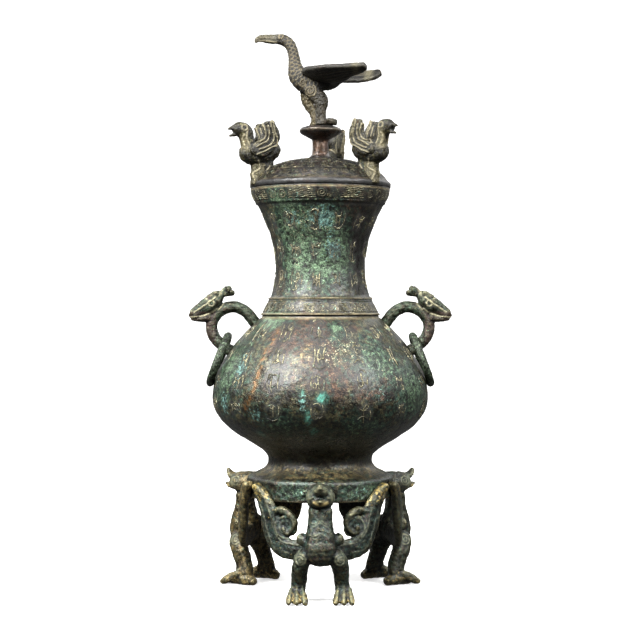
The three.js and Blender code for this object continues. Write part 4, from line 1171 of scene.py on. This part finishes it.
# Knobs on the head: place and half size
for x, y, z, size in ((-19.5, 3.4, 1.9, 2.1), (-14.4, 3.8, 6.0, 2.4), (-8.6, 4.4, 10.8, 2.6),
                      (-22.6, 2.6, -1.2, 1.8), (-4.0, 5.0, 13.6, 2.2), (-17.0, 0, 4.8, 1.8),
                      (-11.2, 0, 9.4, 2.0), (-5.8, 0, 13.4, 2.0)):
    for way in (-1, 1):
        handle_parts.append(head_part([[x - size * 0.5, way * y, z - 0.6, size, size],
                                       [x + size * 0.5, way * y, z + 0.2, size, size]]))
loop = fused(handle_parts, voxel=0.6)
loop_side = loop.points[:, [0, 2]]
head_x, head_z = loop_spot(28, 12.8)


def from_head(rows):
    """Side-view points measured from the head's seat."""
    return [(head_x + a, head_z + b) for a, b in rows]


for way in (-1, 1):
    face = side_mask(loop, 1, way)
    engrave(loop, loop_side, [
        spline(from_head([(-24, -5.4), (-16, -4.6), (-9, -2.4), (-3, 1.4)]), 30),
        spline(from_head([(-2, 0.6), (1.5, 4.6), (3.6, 9)]), 20),
        spline(from_head([(-21, -1.4), (-15, 2.4), (-9, 6.4), (-4, 10.6)]), 30),
        spiral(from_head([(-7.2, 5.6)])[0], 2.4, 1.1, 0, 1, 24, 0.9)], 0.6, 0.55, face)
top_face = side_mask(loop, 2, 1) * (loop.points[:, 0] < head_x + 2) * (
    loop.points[:, 2] > head_z + (loop.points[:, 0] - head_x) * 0.7 + 6)
loop.marks["ridge"] = np.maximum(loop.marks["ridge"], 0.8 * top_face * np.clip(
    0.25 + 0.8 * lumps(loop.points, 2.2, 45), 0, 1))
loop.marks["plum"] = 0.7 * ((loop.points[:, 0] < head_x - 4) * (loop.points[:, 2] < head_z - 1))
loop.push(0.14 * lumps(loop.points, 1.8, 47))
loop.shade(10, 0.8)
for where, way in (("left", 1), ("right", -1)):
    points = loop.points * [way, 1, 1]
    quads = loop.quads if way > 0 else loop.quads[:, ::-1]
    piece(f"dragon_handle_{where}", points, [quads], handle_bronze,
          stands_for=[f"handle_{where}"], marks=loop.marks)

# ---- Loose rings ----

ring_turn = np.arange(RING_STEPS) / RING_STEPS * FULL
wire_turn = np.arange(WIRE_STEPS) / WIRE_STEPS * FULL
ring_quads = grid_quads(RING_STEPS + 1, WIRE_STEPS) % (RING_STEPS * WIRE_STEPS)


def ring_points(wire):
    """A torus that hangs from the pivot at the origin, in the plane square to X. At angles a round
    the ring and b round the wire: x is wire sin b, and a point lies wire cos b beyond the mean
    radius, out along a."""
    out = RING_MEAN + wire * np.cos(wire_turn)[None]
    return np.stack([wire * np.sin(wire_turn)[None] + 0 * out * ring_turn[:, None],
                     out * np.sin(ring_turn)[:, None],
                     out * np.cos(ring_turn)[:, None] - RING_MEAN], -1).reshape(-1, 3)


for where, way in (("left", -1), ("right", 1)):
    ring = Skin(ring_points(RING_WIRE - 0.1), ring_quads)
    ring.push(0.12 * lumps(ring.points, 2.4, 51 + way) + 0.06 * lumps(ring.points, 1.2, 53 + way))
    ring.shade(6, 0.3)
    lean = math.radians(RING_LEAN) * way
    c, s = math.cos(lean), math.sin(lean)
    points = ring.points @ np.array([[c, 0, s], [0, 1, 0], [-s, 0, c]])
    points = points + [way * RING_PIVOT[0], 0, RING_PIVOT[1]]
    piece(f"loose_ring_{where}", points, [ring.quads], ring_bronze,
          body=f"{where}_ring", stands_for=[f"ring_{where}"], marks=ring.marks)

# ---- Birds that carry the ring foot, drawn facing +X ----

bearer_parts = [
    limb([[71, 0, 31.4, 8, 7], [71.2, 0, 36, 11.2, 11.2], [71.3, 0, 43.5, 12.4, 12.7],
          [71.3, 0, 52, 11.2, 11.2], [71.3, 0, 61.5, 9.6, 8.2], [71.3, 0, 72, 9.4, 6.8]]),
    limb([[58, 0, 81, 10.4, 9.4], [68, 0, 80.5, 10.8, 10], [76, 0, 81.2, 10, 8.6],
          [81.5, 0, 81.4, 7.6, 6]]),
    limb([[79, 0, 84.8, 6.4, 3.4], [84.5, 0, 86.6, 4.8, 2.8], [88.4, 0, 91.6, 1.3, 1.3]]),
    limb([[77, 0, 77.4, 6.8, 4], [84.5, 0, 78.6, 4.8, 2.6], [90.4, 0, 79.7, 1.4, 1.0]]),
]
for way in (-1, 1):
    bearer_parts += [
        limb([[70, way * 8, 40, 5, 8], [69, way * 13, 34, 6.4, 8.4], [66.5, way * 15.4, 27.4, 6.5, 7.4],
              [62, way * 16, 16, 5.8, 7.2], [61.2, way * 17.3, 8, 5.8, 7.4]]),
        limb([[50.8, way * 17.8, 3.2, 3.2, 3], [58, way * 17.8, 5, 6.0, 5], [66, way * 17.8, 5.4, 5.8, 5.4],
              [72, way * 17.8, 2.2, 5, 2.0]]),
    ]
    for claw in (-1, 0, 1):
        bearer_parts.append(limb([
            [63, way * 17.8 + claw * 3.4, 9.4, 2.2, 3.2], [70, way * 17.8 + claw * 5.0, 6.4, 2.4, 3.6],
            [76, way * 17.8 + claw * 6.0, 3.4, 2.5, 3.2], [79.4, way * 17.8 + claw * 6.2, 1.8, 1.7, 1.8]]))


def radial(centres):
    """Outwards from the vessel's axis, level."""
    out = centres * [1, 1, 0]
    return out / np.linalg.norm(out, axis=1, keepdims=True)


BEARER_REACH = FOOT_R + 3.4


def around(rows, thick, way):
    """Stations of (degrees, height, half width) bent round the vessel."""
    return [[BEARER_REACH * math.cos(math.radians(a)),
             way * BEARER_REACH * math.sin(math.radians(a)), z, thick, wide] for a, z, wide in rows]


for way in (-1, 1):
    bearer_parts.append(limb(around([
        [6, 42.6, 7], [17, 39.6, 8], [29, 42.2, 8.2], [36.4, 53.6, 8.2],
        [41, 68.6, 7.2], [48, 80.4, 5.8], [54.5, 86.5, 2.4]], 3.6, way), radial, power=2.8))
    bearer_parts.append(limb(around([
        [37, 68, 3], [26, 69, 2.7], [18.4, 60.6, 2.6], [23.6, 51.8, 2.3], [27, 56.4, 1.8]],
        3.0, way), radial))
    bearer_parts.append(limb([[71, way * 9, 47.5, 5, 4.6], [67, way * 15, 49.6, 4.6, 4.6]]))
    bearer_parts.append(limb(around([[24.4, 49.6, 6.4], [24.8, 54, 9.4], [25.4, 59, 9.4],
                                     [27, 64.6, 6.4]], 1.6, way), radial))
    bearer_parts.append(limb(around([[30, 50, 5], [34.5, 60, 6], [38.5, 70, 5.6], [44, 79, 4.4]],
                                    2.8, way), radial))
SOLE = 0.05  # the soles lie this far over the ground
bearer = fused(bearer_parts, voxel=0.8)
bearer.points[:, 2] = np.maximum(bearer.points[:, 2], SOLE)
turn = np.arctan2(bearer.points[:, 1], bearer.points[:, 0])
wrapped = np.stack([turn * BEARER_REACH, bearer.points[:, 2]], 1)
outward = bearer.normals[:, 0] * np.cos(turn) + bearer.normals[:, 1] * np.sin(turn)
facing_out = ramp(outward, 0.1, 0.5)
front_view = bearer.points[:, [1, 2]]
chest = side_mask(bearer, 0, 1) * (np.abs(bearer.points[:, 1]) < 13)
# Waves across the chest: a height plus a cosine 9.5 mm long, bent down by the square of y
waves = [np.stack([y, z + tall * np.cos(y * FULL / 9.5) - 0.016 * y * y], 1)
         for y in [np.linspace(-9.5, 9.5, 40)]
         for z, tall in ((63.4, 1.4), (61.4, 1.2), (54, 0.9), (47.4, 0.7), (40, 0.5))]
engrave(bearer, front_view, waves, 0.42, 0.3, 0.75 * chest)
for way in (-1, 1):
    def bent(rows):
        """A line on the wing, from (degrees, height) points."""
        return spline([(way * math.radians(a) * BEARER_REACH, z) for a, z in rows], 40)

    centre = (way * math.radians(24.5) * BEARER_REACH, 57.2)
    wing_lines = [bent([(14, 43.5), (27, 46), (33, 54), (37, 68), (44, 81), (50, 87)]),
                  bent([(22, 37.4), (32, 40), (38.6, 53), (42.6, 67), (49, 79)]),
                  spiral(centre, 10.4, 2.6, 60, way, 90, 0.2)]
    engrave(bearer, wrapped, wing_lines, 0.5, 0.35,
            facing_out * np.clip(0.7 + 0.6 * lumps(bearer.points, 7, 66), 0, 1))
    knee = side_mask(bearer, 0, 1)
    engrave(bearer, front_view, [spiral((way * 15.2, 34), 4.6, 2, 90, way, 50)], 0.65, 0.5, knee)
    outer_side = side_mask(bearer, 1, way)
    engrave(bearer, bearer.points[:, [0, 2]], [
        spiral((69, 37), 5.4, 2, 120, 1, 50), spiral((74.5, 83), 3.6, 1, 0, 1, 30, 1.0),
        spiral((74.5, 83), 1.5, 1, 0, 1, 20, 1.0),
        spline([(84, 88), (88, 85.6), (84, 82.5), (79, 80.4)], 24)], 0.65, 0.5, outer_side)
    toes = [[(way * 17.8 + claw * 4.4, 13), (way * 17.8 + claw * 5.0, 8), (way * 17.8 + claw * 5.6, 2.6)]
            for claw in (-1, 0, 1)]
    engrave(bearer, front_view, [spline(t, 16) for t in toes], 0.7, 0.4,
            side_mask(bearer, 0, 1, 0.0, 0.3) * (bearer.points[:, 2] < 16))
engrave(bearer, front_view, [
    spline([(-8.6, 78.5), (-7.4, 84.6), (0, 89.4), (7.4, 84.6), (8.6, 78.5)], 40),
    spline([(-5.2, 78.4), (0, 76.4), (5.2, 78.4)], 24)], 0.8, 0.4,
    side_mask(bearer, 0, 1, -0.2, 0.2))
beak_curve = (lines(front_view, [[(-4.4, 78), (0, 76.6), (4.4, 78)]], 1.3)
              * (bearer.points[:, 0] > 80))
x, y, z = bearer.points.T
bearer.marks["plum"] = 0.13 * ramp(z, 62, 48) * chest
bearer.marks["bright"] = beak_curve
bearer.marks["gold"] = 0.28 * np.maximum(ramp(z, 16, 4), ramp(z, 70, 80) * (np.abs(y) > 26))
bearer.push(0.2 * lumps(bearer.points, 2.2, 61) + 0.25 * lumps(bearer.points, 6, 62))
bearer.shade(12, 0.9)
bearer.points[:, 2] = np.maximum(bearer.points[:, 2], SOLE)
bearer_finishes = {"front": bearer_bronze, "right": brown_bronze, "left": sandy_bronze}
for where, angle in BEARER_ANGLES.items():
    piece(f"bearer_bird_{where}", turned_by(bearer.points, angle - 90), [bearer.quads],
          bearer_finishes[where], stands_for=[f"foot_bird_{where}"],
          marks=bearer.marks)

# ---- Floor, light and camera ----

floor_material = bpy.data.materials.new("pale_paper_sweep")
floor_material.use_nodes = True
floor_shader = floor_material.node_tree.nodes["Principled BSDF"]
floor_shader.inputs["Base Color"].default_value = linear("#f4f3f0")
floor_shader.inputs["Roughness"].default_value = 0.9
floor_shader.inputs["Emission Color"].default_value = linear("#ffffff")
floor_shader.inputs["Emission Strength"].default_value = 0.62
# A flat round floor that turns up into a wall all round: a quarter circle, then straight up
FLOOR_R, COVE_R, FLOOR_STEPS, FLOOR_DROP = 1700, 900, 128, 0.15
floor_outline = np.array([[r, 0.0] for r in np.linspace(20, FLOOR_R, 20)]
                         + [[FLOOR_R + COVE_R * math.sin(a), COVE_R * (1 - math.cos(a))]
                            for a in np.linspace(0.08, 1.5, 18)] + [[2640.0, 3200.0]])
angles = np.arange(FLOOR_STEPS) / FLOOR_STEPS * FULL
floor_rings = plain_rings(floor_outline) - [0, 0, FLOOR_DROP]
floor_quads = grid_quads(len(floor_outline), FLOOR_STEPS)[:, [0, 3, 2, 1]]
middle_point = floor_rings[..., 0].size
centre_fan = np.stack([np.full(FLOOR_STEPS, middle_point), np.arange(FLOOR_STEPS),
                       (np.arange(FLOOR_STEPS) + 1) % FLOOR_STEPS], -1)
floor = bpy.data.objects.new("floor", mesh_of(
    "floor", np.vstack([floor_rings.reshape(-1, 3), [[0, 0, -FLOOR_DROP]]]),
    [floor_quads, centre_fan]))
bpy.context.scene.collection.objects.link(floor)
floor.data.materials.append(floor_material)
floor.visible_glossy = False
floor.visible_diffuse = False


VASE_MIDDLE = 0.2


def softbox(name, azimuth, elevation, distance, width, height, power):
    """An area light that looks at the vase's middle, in degrees, metres and watts; azimuth 0 is
    the front, growing to +X."""
    data = bpy.data.lights.new(name, "AREA")
    data.shape, data.size, data.size_y, data.energy = "RECTANGLE", width, height, power
    light = bpy.data.objects.new(name, data)
    bpy.context.scene.collection.objects.link(light)
    a, e = math.radians(azimuth), math.radians(elevation)
    way = np.array([math.sin(a) * math.cos(e), -math.cos(a) * math.cos(e), math.sin(e)])
    light.location = way * distance + [0, 0, VASE_MIDDLE]
    light.rotation_euler = Vector((-way).tolist()).to_track_quat("-Z", "Y").to_euler()
    light.visible_camera = False


softbox("key_left", -46, 40, 1.5, 0.52, 0.46, 92)
softbox("fill_right", 50, 36, 1.5, 0.5, 0.46, 46)
softbox("top", 0, 80, 1.6, 1.0, 1.0, 16)
softbox("back_left", -140, 30, 1.8, 0.6, 0.9, 8)
softbox("back_right", 140, 30, 1.8, 0.6, 0.9, 8)

world = bpy.data.worlds.new("studio")
bpy.context.scene.world = world
world.use_nodes = True
background = world.node_tree.nodes["Background"]
background.inputs["Color"].default_value = linear("#e8e8e8")
background.inputs["Strength"].default_value = 0.17
bpy.context.scene.view_settings.view_transform = "Standard"

# The photo's view: level with the vase's middle, 1.28 m in front of it, a hair's breadth downwards
camera_data = bpy.data.cameras.new("camera")
CAMERA_PLACE, CAMERA_DIP = (-0.00024, -1.28, 0.2227), 0.358
camera_data.sensor_width, camera_data.lens = 36, 90
camera = bpy.data.objects.new("camera", camera_data)
bpy.context.scene.collection.objects.link(camera)
camera.location = CAMERA_PLACE
camera.rotation_euler = (math.radians(90 - CAMERA_DIP), 0, 0)
bpy.context.scene.camera = camera
